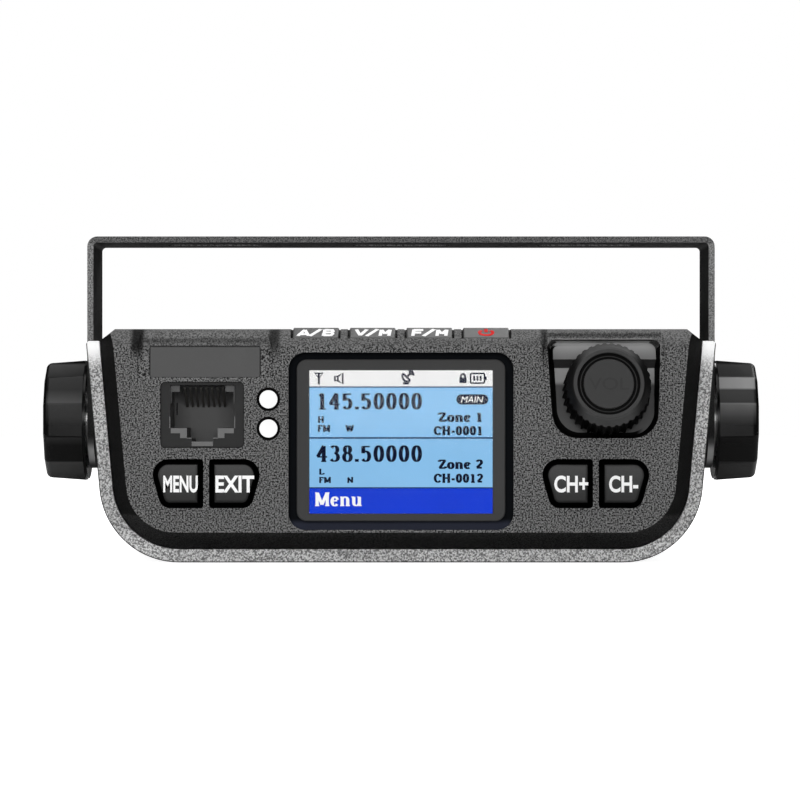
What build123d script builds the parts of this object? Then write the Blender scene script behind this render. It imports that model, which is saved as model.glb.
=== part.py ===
from build123d import *
import os
from math import cos, radians, sin, tan

# Compact mobile transceiver on a tilting U bracket, held by two thumb knobs.
# +X is the right-hand side seen from the front, the front faces -Y and +Z is up.
# The origin is on the chassis underside, mid-width, straight below the bracket pivot.
# "Forward" distances are measured along -Y from the pivot axis.

# ---------------------------------------------------------------- driving dimensions
# Chassis: a cast trough with leaning sides and an open top
tub_front = 39.0
tub_length = 100.0
tub_top = 41.95
wall = 2.5
corner_x = 42.05
corner_radius = 15.15
side_lean = 5.2
rear_wall_inside = 46.0
rear_wall_outside = 49.0
rim_z = 40.8

# Front panel: a drafted plastic shell plugged into the mouth of the trough
face = 51.0
panel_top = 44.0
seam = 0.15
face_inset = 6.0
face_thickness = 2.4
shell = 2.2
roll_radius = 4.5
skirt_back = 31.5
scoop_tilt = 5.0
brow_tilt = 30.0

# Bracket and its pivot
pivot_z = 27.0
bracket_gap = 60.6
strip = 1.2
strip_width = 22.2
bracket_top = 63.2
bracket_bend = 0.8
slot_pitch = 36.9
slot_length = 19.6
slot_width = 5.2
boss_face = 59.4
stud_radius = 2.5
running = 0.05

# Thumb knobs
washer_thickness = 0.5
grip_outer = 70.6
grip_radius = 12.3
grip_flange = 11.6
grip_taper = 4.2
grip_step = 0.5
rubber_radius = 8.4
facets = 12
collar_inner = 64.0
stud_inner = 51.0
flange_width = 1.2

# Display
ring_x = 20.95
ring_bottom = 6.49
ring_top = 39.53
bezel_x = 19.45
bezel_bottom = 8.09
bezel_top = 38.28
lcd_x = 17.2
lcd_bottom = 9.41
lcd_top = 36.33
bezel_front = face - 0.6
lens_front = 49.9
lcd_front = 48.3
backlight_front = 46.4

# Microphone jack
jack_left = -44.71
jack_right = -29.32
jack_bottom = 21.86
jack_top = 33.98
jack_x = -36.93
jack_depth = 16.0

# Status lights
light_x = -24.7
light_z = (30.82, 25.38)
light_radius = 1.68
light_hole = 2.1
pipe_foot = 45.2
pipe_flange = 47.5

# Front keys come in two mirrored pairs
pair_x = 36.28
key_inner = 0.53
key_bottom = 10.54
key_top = 19.70
key_foot = 8.35
key_head = 10.9
key_gap = 0.8
key_travel = 0.5
key_face = 51.9
key_flange_front = 48.4
key_flange_back = 47.5
switch_offset = 5.2
rest_gap = 0.05

# Top keys sit in notches across the top edge
top_key_pitch = 10.62
top_key_width = 8.55
top_key_gap = 0.4
top_key_front = 49.9
top_key_crest = 44.6
top_key_back = 41.2
top_key_foot = 41.2
top_key_lip = 42.35
top_key_top = 44.3
top_flange_foot = 40.3
top_flange_top = 41.5
plunger_y = -40.75

# Volume control, tilted upwards
dial_tilt = 10.0
dial_x = 38.3
dial_y = -46.2
dial_z = 31.5
knob_back = 2.2
knob_front = 12.5
knob_radius = 8.2
knob_rim = 6.6
cap_radius = 4.66
cap_seat = 11.3
flutes = 36
flute_radius = 0.52
shaft_radius = 3.0
shaft_back = -6.9
shaft_front = 10.1
bushing_radius = 4.4
encoder_back = -8.1
encoder_front = -1.9

# Circuit boards
board_thickness = 1.6
front_board_face = 43.5
board_screws = ((23.8, 36.5), (-24.0, 36.5), (23.2, 9.0), (-23.2, 9.0))
main_board_z = 8.0

# Metric screws: clearance and thread radii
m2 = 1.0
m25 = 1.25
m3 = 1.5


# ---------------------------------------------------------------- planes and profiles
def front(distance):
    """Upright plane facing forward, this far in front of the pivot axis."""
    return Plane.XZ.offset(distance)


def side(distance):
    """Upright plane facing +X; its own x runs along +Y and its own y along +Z."""
    return Plane.YZ.offset(distance)


def level(height):
    """Level plane facing up."""
    return Plane.XY.offset(height)


def leaning(origin, tilt):
    """Forward-facing plane at origin, leaning back by tilt degrees."""
    facing = (0, -cos(radians(tilt)), sin(radians(tilt)))
    return Plane(origin=origin, x_dir=(1, 0, 0), z_dir=facing)


dial = leaning((dial_x, dial_y, dial_z), dial_tilt)


def half_width(height, inset=0.0):
    """Half-width of the trough at a height on its straight leaning sides."""
    touch_x = corner_x + (corner_radius - inset) * cos(radians(side_lean))
    touch_z = corner_radius - (corner_radius - inset) * sin(radians(side_lean))
    return touch_x + (height - touch_z) * tan(radians(side_lean))


def trough(inset, top, shoulder=0.0, run=0.0):
    """Chassis cross-section shrunk by inset and cut level at top, its upper corners bevelled."""
    radius = corner_radius - inset
    touch_x = corner_x + radius * cos(radians(side_lean))
    touch_z = corner_radius - radius * sin(radians(side_lean))
    side_top = top - shoulder
    side_x = half_width(side_top, inset)
    with BuildSketch() as outline:
        with BuildLine():
            Line((0, inset), (corner_x, inset))
            CenterArc((corner_x, corner_radius), radius, -90, 90 - side_lean)
            Line((touch_x, touch_z), (side_x, side_top))
            if shoulder:
                Line((side_x, side_top), (side_x - run, top))
            Line((side_x - run, top), (0, top))
            mirror(about=Plane.YZ)
        make_face()
    return outline.sketch


def pane(left, right, bottom, top, radius):
    """Rounded rectangle between four edges."""
    with BuildSketch() as outline:
        with Locations(((left + right) / 2, (bottom + top) / 2)):
            RectangleRounded(right - left, top - bottom, radius)
    return outline.sketch


def key_outline(hand, shrink=0.0):
    """Key on one side of a pair's centre line: hand 1 is the right-hand key, -1 the left."""
    foot = (hand * key_foot, key_bottom)
    head = (hand * key_head, key_top)
    with BuildSketch() as outline:
        with BuildLine():
            Polyline((hand * key_inner, key_bottom), foot, head, (hand * key_inner, key_top), close=True)
        make_face()
        fillet(outline.vertices().sort_by_distance((0, key_bottom))[0], 0.6)
        fillet(outline.vertices().sort_by_distance((0, key_top))[0], 0.6)
        fillet(outline.vertices().sort_by_distance(head)[0], 3.0)
        fillet(outline.vertices().sort_by_distance(foot)[0], 2.2)
        if shrink:
            offset(amount=-shrink, kind=Kind.INTERSECTION, mode=Mode.REPLACE)
    return outline.sketch


def pan_screw(radius, length, head_radius, head_height):
    """Pan-head screw pointing down, with the underside of its head at the origin."""
    with BuildPart() as screw:
        with BuildSketch(level(0)):
            Circle(head_radius)
        extrude(amount=head_height)
        fillet(screw.edges().sort_by(Axis.Z)[-1], head_height * 0.45)
        with BuildSketch(level(head_height)):
            Rectangle(head_radius * 1.15, head_radius * 0.3)
            Rectangle(head_radius * 0.3, head_radius * 1.15)
        extrude(amount=-head_height * 0.6, mode=Mode.SUBTRACT)
        with BuildSketch(level(0)):
            Circle(radius)
        extrude(amount=-length)
    return screw.part


def flat_screw(radius, length, head_radius, head_height):
    """Countersunk screw pointing down, with the top of its head at the origin."""
    with BuildPart() as screw:
        with BuildSketch(Plane.XZ):
            Polygon(
                (0, 0),
                (head_radius, 0),
                (radius, -head_height),
                (radius, -length),
                (0, -length),
                align=None,
            )
        revolve(axis=Axis.Z)
        with BuildSketch(level(0)):
            Rectangle(head_radius * 1.15, head_radius * 0.3)
            Rectangle(head_radius * 0.3, head_radius * 1.15)
        extrude(amount=-head_height * 0.5, mode=Mode.SUBTRACT)
    return screw.part


# ---------------------------------------------------------------- chassis
cover_screw_x = 50.0
cover_screw_y = (-26.0, 12.0, 41.0)
cover_seat = 42.3
board_post_x = 40.0
board_post_y = (-27.0, 6.0, 38.0)
panel_screw_z = (18.0, 36.0)
panel_screw_y = -35.0
panel_screw_sink = 0.15
bay_x = 27.0
fin_pitch = 6.0
fin_gap = 4.0
antenna_x = 12.5
antenna_z = 21.0
flange_bolt = 18.3
power_x = -17.0
power_z = 15.0
jack35_x = -17.0
jack35_z = 31.5
amplifier_x = 24.0
amplifier_y = 22.0
amplifier_pad = 6.0
amplifier_bolt = 21.0
amplifier_flange = 2.2

post_foot = 1.0
overlap = 0.5
with BuildPart() as cover_posts:
    with BuildSketch(level(post_foot)):
        for y in cover_screw_y:
            with Locations((cover_screw_x, y), (-cover_screw_x, y)):
                Circle(3.0)
    extrude(amount=cover_seat - post_foot)
    with BuildSketch(level(post_foot)):
        for y in cover_screw_y:
            with Locations((cover_screw_x + 5, y), (-cover_screw_x - 5, y)):
                Rectangle(10, 2.4)
    extrude(amount=37)
    with BuildSketch(front(tub_front)):
        add(trough(1.0, tub_top + 5))
    extrude(amount=-tub_length, mode=Mode.INTERSECT)

with BuildPart() as chassis:
    with BuildSketch(front(tub_front)):
        add(trough(0, tub_top))
    extrude(amount=-tub_length)
    with BuildSketch(front(tub_front)):
        add(trough(wall, tub_top + 3))
    extrude(amount=-(tub_front + rear_wall_inside), mode=Mode.SUBTRACT)
    # seat for the cover's rear edge
    with BuildSketch(front(-rear_wall_inside)):
        add(trough(wall, tub_top + 3))
        with Locations((0, 0)):
            Rectangle(200, 2 * rim_z, mode=Mode.SUBTRACT)
    extrude(amount=-(rear_wall_outside - rear_wall_inside + 0.3), mode=Mode.SUBTRACT)
    with BuildSketch(front(-rear_wall_inside)):
        add(pane(-53, 53, rim_z - 1, cover_seat - 0.1, 0.4))
    extrude(amount=-(rear_wall_outside - rear_wall_inside))
    # soft outer edge along both rims
    rims = chassis.edges().filter_by(Axis.Y).group_by(Axis.X)
    fillet([rims[0].sort_by(Axis.Z)[-1], rims[-1].sort_by(Axis.Z)[-1]], 0.7)
    # connector bay and cooling fins behind the rear wall
    with BuildSketch(front(-rear_wall_outside)):
        Rectangle(2 * bay_x, 120)
        for column in range(4):
            gap_x = bay_x + fin_pitch - fin_gap / 2 + column * fin_pitch
            with Locations((gap_x, 0), (-gap_x, 0)):
                Rectangle(fin_gap, 120)
    extrude(amount=-20, mode=Mode.SUBTRACT)
    # bracket pivot bosses, outside and inside each wall
    for hand in (1, -1):
        with BuildSketch(side(hand * 55)):
            with Locations((0, pivot_z)):
                Circle(8.5)
        extrude(amount=hand * (boss_face - 55))
        with BuildSketch(side(hand * 50)):
            with Locations((0, pivot_z)):
                Circle(6)
        extrude(amount=hand * 6)
        with BuildSketch(side(hand * 50)):
            with Locations((0, pivot_z)):
                Circle(stud_radius + running)
        extrude(amount=hand * 10, mode=Mode.SUBTRACT)
    # posts for the cover, each tied to its wall by a rib
    add(cover_posts.part)
    with Locations(*[(sx * cover_screw_x, y, cover_seat) for sx in (1, -1) for y in cover_screw_y]):
        Hole(m3 + running, depth=9)
    # posts for the main board
    with BuildSketch(level(wall - overlap)):
        for y in board_post_y:
            with Locations((board_post_x, y), (-board_post_x, y)):
                Circle(3.2)
    extrude(amount=main_board_z - wall + overlap)
    with Locations(*[(sx * board_post_x, y, main_board_z) for sx in (1, -1) for y in board_post_y]):
        Hole(m3 + running, depth=6)
    # raised pad that cools the power amplifier
    with BuildSketch(level(wall - overlap)):
        with Locations((0, amplifier_y)):
            Rectangle(2 * amplifier_x, 15)
    extrude(amount=amplifier_pad - wall + overlap)
    with Locations(*[(sx * amplifier_bolt, amplifier_y, amplifier_pad) for sx in (1, -1)]):
        Hole(m3 + running, depth=4)
    # countersunk side holes for the panel screws
    for hand in (1, -1):
        for z in panel_screw_z:
            head_x = half_width(z) - panel_screw_sink
            with Locations(Plane((hand * head_x, panel_screw_y, z), z_dir=(hand, 0, 0))):
                Cylinder(m25 + 0.15, 20, mode=Mode.SUBTRACT)
                Cylinder(2.5, 4, align=(Align.CENTER, Align.CENTER, Align.MIN), mode=Mode.SUBTRACT)
                Cone(m25 + 0.15, 2.5, 1.2, align=(Align.CENTER, Align.CENTER, Align.MAX), mode=Mode.SUBTRACT)
    # rear connector openings
    with BuildSketch(front(-rear_wall_inside + 1)):
        with Locations((antenna_x, antenna_z)):
            Circle(7.6)
            with GridLocations(flange_bolt, flange_bolt, 2, 2):
                Circle(m3 + running)
        with Locations((power_x, power_z)):
            RectangleRounded(15.2, 10.2, 1.2)
        with Locations((jack35_x, jack35_z)):
            Circle(3.1)
    extrude(amount=-5, mode=Mode.SUBTRACT)

# ---------------------------------------------------------------- top cover
cover_top = 43.5
cover_front = tub_front - 0.2
cover_rear = rear_wall_outside + 0.1
speaker_y = 4.0
speaker_radius = 20.0
grille_slots = 9
grille_pitch = 4.0

with BuildPart() as top_cover:
    with BuildSketch(front(cover_front)):
        Polygon(
            (-56.1, 41.0), (56.1, 41.0), (56.1, 41.8), (53.4, cover_top),
            (-53.4, cover_top), (-56.1, 41.8), align=None,
        )
        Polygon(
            (-54.9, 41.0), (54.9, 41.0), (54.9, 41.3), (53.0, cover_seat),
            (-53.0, cover_seat), (-54.9, 41.3), align=None, mode=Mode.SUBTRACT,
        )
    extrude(amount=-(cover_front + cover_rear))
    with BuildSketch(level(cover_top)):
        for row in range(grille_slots):
            offset_y = (row - (grille_slots - 1) / 2) * grille_pitch
            half = (speaker_radius ** 2 - offset_y ** 2) ** 0.5 - 2.5
            with Locations((0, speaker_y + offset_y)):
                SlotOverall(2 * half, 1.8)
    extrude(amount=-3, mode=Mode.SUBTRACT)
    with Locations(*[(sx * cover_screw_x, y, cover_top) for sx in (1, -1) for y in cover_screw_y]):
        Hole(m3 + 0.15, depth=3)

with BuildPart() as cover_screws:
    with Locations(*[(sx * cover_screw_x, y, cover_top) for sx in (1, -1) for y in cover_screw_y]):
        add(pan_screw(m3, 9, 2.7, 0.9))

# ---------------------------------------------------------------- front panel
badge = leaning((-36.5, -face, 34.2), scoop_tilt)
badge_lift = 0.76
badge_height = 5.79
badge_half = 10.34
badge_pocket = 0.35
scoop_draft = 35.0
brow_foot = 40.9


def scoop(origin, tilt, width_low, width_high):
    """Cutter for a hollow that deepens towards the top edge, with drafted flanks."""
    plane = leaning(origin, tilt)
    height = (panel_top + 1 - origin[2]) / cos(radians(tilt))
    with BuildPart() as cutter:
        with BuildSketch(plane):
            Polygon(
                (-width_low / 2, 0), (width_low / 2, 0),
                (width_high / 2, height), (-width_high / 2, height), align=None,
            )
        extrude(amount=4, taper=-scoop_draft)
    return cutter.part


with BuildPart() as panel_blank:
    with BuildSketch(front(tub_front)):
        add(trough(wall + seam, panel_top, 2.0, 2.8))
    with BuildSketch(front(face)):
        add(trough(face_inset, panel_top, 0.6, 0.6))
    loft(ruled=True)
    # convex roll along the top front edge
    with BuildSketch(Plane.YZ):
        with BuildLine():
            CenterArc((-face + roll_radius, panel_top - roll_radius), roll_radius, 90, 90)
            Line((-face, panel_top - roll_radius), (-face - 2, panel_top - roll_radius))
            Line((-face - 2, panel_top - roll_radius), (-face - 2, panel_top + 2))
            Line((-face - 2, panel_top + 2), (-face + roll_radius, panel_top + 2))
            Line((-face + roll_radius, panel_top + 2), (-face + roll_radius, panel_top))
        make_face()
    extrude(amount=60, both=True, mode=Mode.SUBTRACT)
    # hollows round the nameplate and the volume recess, each with a steeper brow at the top
    brow_y = -face + (brow_foot - badge.origin.Z) * tan(radians(scoop_tilt))
    for x, width_low, width_high in ((-36.5, 25.2, 24.2), (37.8, 22.4, 22.0)):
        add(scoop((x, -face, badge.origin.Z), scoop_tilt, width_low, width_high), mode=Mode.SUBTRACT)
        add(scoop((x, brow_y, brow_foot), brow_tilt, width_high, width_high - 0.6), mode=Mode.SUBTRACT)


def recess_outline(grow):
    """Opening of the volume recess in the face."""
    with BuildSketch() as outline:
        Polygon((28.4, 23.5), (47.9, 23.5), (48.6, 42.3), (27.0, 42.3), align=None)
        low = outline.vertices().group_by(Axis.Y)[0]
        fillet(low, 4.7)
        high = outline.vertices().group_by(Axis.Y)[-1]
        fillet(high, 1.7)
        if grow:
            offset(amount=grow, mode=Mode.REPLACE)
    return outline.sketch


with BuildPart() as recess_cutter:
    with BuildSketch(front(face + 1)):
        add(recess_outline(0))
    extrude(amount=-10, taper=7)
    split(bisect_by=dial, keep=Keep.TOP)

# ledge across the upper part of the recess floor
ledge_low = 5.4
ledge_nose = 6.7
ledge_height = 1.6
with BuildPart() as recess_ledge:
    with BuildSketch(Plane(dial.origin, x_dir=dial.z_dir, z_dir=(-1, 0, 0))):
        Polygon((0, ledge_low), (ledge_height, ledge_nose), (0, 12), align=None)
    extrude(amount=9.9, both=True)
    add(recess_cutter.part, mode=Mode.INTERSECT)

housing_back = -1.8
with BuildPart() as dial_housing:
    with BuildSketch(dial.offset(housing_back)):
        add(Pos(-dial_x, -dial_z, 0) * recess_outline(1.5))
    extrude(amount=8)
    add(panel_blank.part, mode=Mode.INTERSECT)

web_front = face - face_thickness + 0.2
notch_floor = 40.6
with BuildPart() as front_panel:
    add(panel_blank.part)
    # hollow inside
    with BuildSketch(front(tub_front - 1)):
        add(trough(wall + seam + shell, panel_top - shell, 1.2, 1.6))
    with BuildSketch(front(face - face_thickness)):
        add(trough(face_inset + 1.5, panel_top - shell, 0.6, 0.6))
    loft(ruled=True, mode=Mode.SUBTRACT)
    # skirt that plugs into the trough, with lugs for the side screws
    with BuildSketch(front(tub_front)):
        add(trough(wall + seam, rim_z - 0.1))
        add(trough(wall + seam + 2.0, rim_z + 3), mode=Mode.SUBTRACT)
    extrude(amount=-(tub_front - skirt_back))
    for hand in (1, -1):
        for z in panel_screw_z:
            with BuildSketch(side(hand * 49.0)):
                with Locations((panel_screw_y, z)):
                    RectangleRounded(6.6, 6.6, 1.2)
            extrude(amount=hand * 5.3)
    for hand in (1, -1):
        for z in panel_screw_z:
            with BuildSketch(side(hand * 48.0)):
                with Locations((panel_screw_y, z)):
                    Circle(m25 + running)
            extrude(amount=hand * 9.5, mode=Mode.SUBTRACT)
    # frame behind the display
    with BuildSketch(front(web_front)):
        add(pane(-22.1, 22.1, 5.6, 40.7, 0.5))
    extrude(amount=-2.3)
    add(dial_housing.part)
    # bosses for the front board
    with BuildSketch(front(web_front)):
        with Locations(*board_screws):
            Circle(1.7)
    extrude(amount=-(web_front - front_board_face))
    # display recess and opening
    with BuildSketch(front(face + 1)):
        add(pane(-ring_x, ring_x, ring_bottom, ring_top, 3.1))
    extrude(amount=-3.6, mode=Mode.SUBTRACT)
    with BuildSketch(front(face + 1)):
        add(pane(-18.0, 18.0, 8.9, 37.4, 0.6))
    extrude(amount=-7, mode=Mode.SUBTRACT)
    # microphone jack, status lights
    with BuildSketch(front(face + 1)):
        add(pane(jack_left - 0.1, jack_right + 0.1, jack_bottom - 0.1, jack_top + 0.1, 0.9))
        with Locations((light_x, light_z[0]), (light_x, light_z[1])):
            Circle(light_hole)
        for centre in (pair_x, -pair_x):
            for hand in (1, -1):
                add(Pos(centre, 0, 0) * key_outline(hand))
    extrude(amount=-8, mode=Mode.SUBTRACT)
    # notches for the top keys
    with BuildSketch(level(notch_floor)):
        for index in range(4):
            with Locations(((index - 1.5) * top_key_pitch, -(top_key_front + top_key_back) / 2)):
                Rectangle(
                    top_key_width + 2 * top_key_gap,
                    top_key_front - top_key_back + 0.4,
                )
    extrude(amount=8, mode=Mode.SUBTRACT)
    # nameplate pocket
    with BuildSketch(badge.offset(1)):
        with Locations((0, badge_lift + badge_height / 2)):
            RectangleRounded(2 * badge_half + 0.2, badge_height + 0.2, 0.6)
    extrude(amount=-1 - badge_pocket, mode=Mode.SUBTRACT)
    # volume recess with its ledge, and the bushing hole
    add(recess_cutter.part, mode=Mode.SUBTRACT)
    add(recess_ledge.part)
    with BuildSketch(dial.offset(3)):
        Circle(bushing_radius + 0.15)
    extrude(amount=-8, mode=Mode.SUBTRACT)
    # pilot holes for the front board screws
    with BuildSketch(front(front_board_face)):
        with Locations(*board_screws):
            Circle(m2 + running)
    extrude(amount=4.2, mode=Mode.SUBTRACT)

with BuildPart() as panel_screws:
    for hand in (1, -1):
        for z in panel_screw_z:
            head_x = half_width(z) - panel_screw_sink
            with Locations(Plane((hand * head_x, panel_screw_y, z), z_dir=(hand, 0, 0))):
                add(flat_screw(m25, 7.5, 2.4, 1.15))

with BuildPart() as nameplate:
    with BuildSketch(badge.offset(-badge_pocket)):
        with Locations((0, badge_lift + badge_height / 2)):
            RectangleRounded(2 * badge_half, badge_height, 0.55)
    extrude(amount=0.3)

# ---------------------------------------------------------------- display
with BuildPart() as display_bezel:
    with BuildSketch(front(bezel_front)):
        add(pane(-bezel_x, bezel_x, bezel_bottom, bezel_top, 1.9))
        add(pane(-lcd_x, lcd_x, lcd_bottom, lcd_top, 0.3), mode=Mode.SUBTRACT)
    extrude(amount=-2.0)
    fillet(display_bezel.edges().group_by(Axis.Y)[0].filter_by(lambda e: abs(e.center().X) > 18), 0.25)

with BuildPart() as display_lens:
    with BuildSketch(front(lens_front)):
        add(pane(-lcd_x + 0.1, lcd_x - 0.1, lcd_bottom + 0.1, lcd_top - 0.1, 0.25))
    extrude(amount=-0.9)

with BuildPart() as lcd_panel:
    with BuildSketch(front(lcd_front)):
        add(pane(-17.8, 17.8, 9.1, 37.2, 0.3))
    extrude(amount=-1.8)

with BuildPart() as lcd_backlight:
    with BuildSketch(front(backlight_front)):
        add(pane(-19.5, 19.5, 7.6, 38.4, 0.8))
    extrude(amount=-2.6)

# ---------------------------------------------------------------- front board and its parts
with BuildPart() as front_board:
    with BuildSketch(front(front_board_face)):
        add(trough(7.4, 38.0))
        add(pane(-45.3, -28.8, 21.3, 34.6, 0.5), mode=Mode.SUBTRACT)
        add(pane(25.45, 60, 21.3, 45, 0.5), mode=Mode.SUBTRACT)
        with Locations(*board_screws):
            Circle(m2 + 0.1, mode=Mode.SUBTRACT)
    extrude(amount=-board_thickness)

board_back = front_board_face - board_thickness
with BuildPart() as front_board_screws:
    for x, z in board_screws:
        with Locations(Plane((x, -board_back, z), z_dir=(0, 1, 0))):
            add(pan_screw(m2, 5.0, 1.8, 1.3))

switch_x = [sx * pair_x + sy * switch_offset for sx in (-1, 1) for sy in (-1, 1)]
key_middle_z = (key_bottom + key_top) / 2
switch_height = 2.0
switch_top = 46.1
with BuildPart() as front_key_switches:
    with BuildSketch(front(front_board_face)):
        with Locations(*[(x, key_middle_z) for x in switch_x]):
            RectangleRounded(4.4, 4.4, 0.4)
    extrude(amount=switch_height)
    with BuildSketch(front(front_board_face + switch_height)):
        with Locations(*[(x, key_middle_z) for x in switch_x]):
            Circle(1.1)
    extrude(amount=switch_top - front_board_face - switch_height)

top_key_x = [(index - 1.5) * top_key_pitch for index in range(4)]
top_switch_foot = 33.2
top_switch_top = 36.1
plunger_top = 36.65
with BuildPart() as top_key_switches:
    with BuildSketch(level(top_switch_foot)):
        with Locations(*[(x, -board_back + 1.6) for x in top_key_x]):
            Rectangle(4.4, 3.2)
    extrude(amount=top_switch_top - top_switch_foot)
    with BuildSketch(level(top_switch_top)):
        with Locations(*[(x, plunger_y) for x in top_key_x]):
            Rectangle(2.0, 1.3)
    extrude(amount=plunger_top - top_switch_top)

with BuildPart() as status_leds:
    with BuildSketch(front(front_board_face)):
        with Locations(*[(light_x, z) for z in light_z]):
            Rectangle(2.0, 1.4)
    extrude(amount=0.9)


def light_pipe(height):
    """Clear pin that carries light from the board to the face."""
    with BuildPart() as pipe:
        with BuildSketch(front(pipe_foot)):
            with Locations((light_x, height)):
                Circle(light_radius)
        extrude(amount=face + 0.25 - pipe_foot)
        fillet(pipe.edges().sort_by(Axis.Y)[0], 0.55)
        with BuildSketch(front(pipe_flange)):
            with Locations((light_x, height)):
                Circle(2.5)
        extrude(amount=0.9)
    return pipe


upper_light_pipe = light_pipe(light_z[0])
lower_light_pipe = light_pipe(light_z[1])


def front_key(hand, centre):
    """Key cap with its retaining flange and the stem that meets the switch."""
    with BuildPart() as cap:
        with BuildSketch(front(key_face)):
            add(Pos(centre, 0, 0) * key_outline(hand, key_gap))
        extrude(amount=-(key_face - key_flange_front))
        fillet(cap.edges().group_by(Axis.Y)[0], 0.7)
        with BuildSketch(front(key_flange_front)):
            add(Pos(centre, 0, 0) * key_outline(hand, -0.35))
        extrude(amount=-(key_flange_front - key_flange_back))
        with BuildSketch(front(key_flange_back)):
            with Locations((centre + hand * switch_offset, key_middle_z)):
                Circle(1.8)
        extrude(amount=-(key_flange_back - switch_top - key_travel - rest_gap))
    return cap


menu_button = front_key(-1, -pair_x)
exit_button = front_key(1, -pair_x)
channel_up_button = front_key(-1, pair_x)
channel_down_button = front_key(1, pair_x)


def top_key(centre):
    """Key filling a notch of the top edge, with a flange and stem below."""
    with BuildPart() as cap:
        with BuildSketch(side(centre)):
            Polygon(
                (-top_key_front, top_key_foot), (-top_key_front, top_key_lip), (-top_key_crest, top_key_top),
                (-top_key_back, top_key_top), (-top_key_back, top_key_foot), align=None,
            )
        extrude(amount=top_key_width / 2, both=True)
        upper = cap.edges().filter_by(lambda e: e.center().Z > top_key_lip - 0.05)
        fillet(upper, 0.25)
        with BuildSketch(side(centre)):
            Polygon(
                (-46.2, top_flange_foot), (-46.2, top_flange_top),
                (-39.7, top_flange_top), (-39.7, top_flange_foot), align=None,
            )
        extrude(amount=top_key_width / 2 + 0.6, both=True)
        with BuildSketch(level(top_flange_foot)):
            with Locations((centre, plunger_y)):
                Rectangle(2.4, 1.7)
        extrude(amount=-(top_flange_foot - plunger_top - key_travel - rest_gap))
    return cap


band_button, mode_button, function_button, power_button = [top_key(x) for x in top_key_x]

# ---------------------------------------------------------------- microphone jack
jack_face = face - 0.4
cavity_back = jack_face - 13
with BuildPart() as mic_jack:
    with BuildSketch(front(jack_face)):
        add(pane(jack_left, jack_right, jack_bottom, jack_top, 0.8))
    extrude(amount=-jack_depth)
    with BuildSketch(front(jack_face)):
        for half, bottom, top in ((6.03, 25.53, 33.48), (2.96, 23.5, 27.0), (2.0, 22.5, 25.0)):
            add(pane(jack_x - half, jack_x + half, bottom, top, 0.1))
    extrude(amount=cavity_back - jack_face, mode=Mode.SUBTRACT)

with BuildPart() as mic_jack_contacts:
    with BuildSketch(Plane.YZ.offset(jack_x)) as contact_side:
        Polygon((-cavity_back, 29.4), (-cavity_back, 29.8), (-46.6, 33.2), (-46.6, 32.8), align=None)
    for index in range(8):
        shift = (index - 3.5) * 1.02
        add(Pos(shift, 0, 0) * extrude(contact_side.sketch, amount=0.2, both=True, mode=Mode.PRIVATE))

# ---------------------------------------------------------------- volume control
dial_axis = Axis(dial.origin, dial.z_dir)
dial_section = Plane(dial.origin, x_dir=(1, 0, 0), z_dir=-dial.y_dir)

with BuildPart() as volume_knob:
    with BuildSketch(dial_section):
        Polygon(
            (6.7, knob_back), (knob_radius, knob_back), (knob_radius - 0.3, 11.0), (knob_rim + 0.25, 12.3),
            (knob_rim - 0.15, knob_front), (knob_rim - 0.75, knob_front), (knob_rim - 0.95, 11.9),
            (cap_radius + 0.09, 11.9), (cap_radius + 0.09, cap_seat), (0, cap_seat), (0, shaft_front + 0.1),
            (shaft_radius + 0.01, shaft_front + 0.1), (shaft_radius + 0.01, 4.6), (6.7, 4.6), align=None,
        )
    revolve(axis=dial_axis)
    with BuildSketch(dial.offset(knob_back)):
        with PolarLocations(knob_radius, flutes):
            Circle(flute_radius)
    extrude(amount=knob_front - knob_back, mode=Mode.SUBTRACT)

with BuildPart() as volume_knob_cap:
    with BuildSketch(dial.offset(cap_seat)):
        Circle(cap_radius)
    extrude(amount=1.0)
    fillet(volume_knob_cap.edges().sort_by(dial_axis)[-1], 0.2)

with BuildPart() as encoder_shaft:
    with BuildSketch(dial.offset(shaft_back)):
        Circle(shaft_radius)
    extrude(amount=shaft_front - shaft_back)

with BuildPart() as volume_encoder:
    with BuildSketch(dial.offset(encoder_back)):
        RectangleRounded(12.4, 13.2, 0.8)
    extrude(amount=encoder_front - encoder_back)
    with BuildSketch(dial.offset(encoder_front)):
        Circle(bushing_radius)
    extrude(amount=5.2)
    with BuildSketch(dial.offset(shaft_back - 0.1)):
        Circle(shaft_radius + running)
    extrude(amount=12, mode=Mode.SUBTRACT)

with BuildPart() as encoder_nut:
    with BuildSketch(dial.offset(0.05)):
        RegularPolygon(6.3, 6)
        Circle(bushing_radius + 0.02, mode=Mode.SUBTRACT)
    extrude(amount=1.8)

with BuildPart() as encoder_board:
    with BuildSketch(dial.offset(encoder_back)):
        RectangleRounded(15.0, 16.0, 0.6)
    extrude(amount=-1.2)

# ---------------------------------------------------------------- main board and its parts
board_top = main_board_z + board_thickness
with BuildPart() as main_board:
    with BuildSketch(level(main_board_z)):
        add(pane(-45.5, 45.5, -33.0, 43.0, 1.5))
        add(pane(-26.0, 26.0, amplifier_y - 8.5, amplifier_y + 8.5, 0.6), mode=Mode.SUBTRACT)
        with Locations(*[(sx * board_post_x, y) for sx in (1, -1) for y in board_post_y]):
            Circle(m3 + 0.15, mode=Mode.SUBTRACT)
    extrude(amount=board_thickness)

with BuildPart() as main_board_screws:
    with Locations(*[(sx * board_post_x, y, board_top) for sx in (1, -1) for y in board_post_y]):
        add(pan_screw(m3, 7.0, 2.6, 2.0))


can_height = 4.5
can_sheet = 0.4


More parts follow.
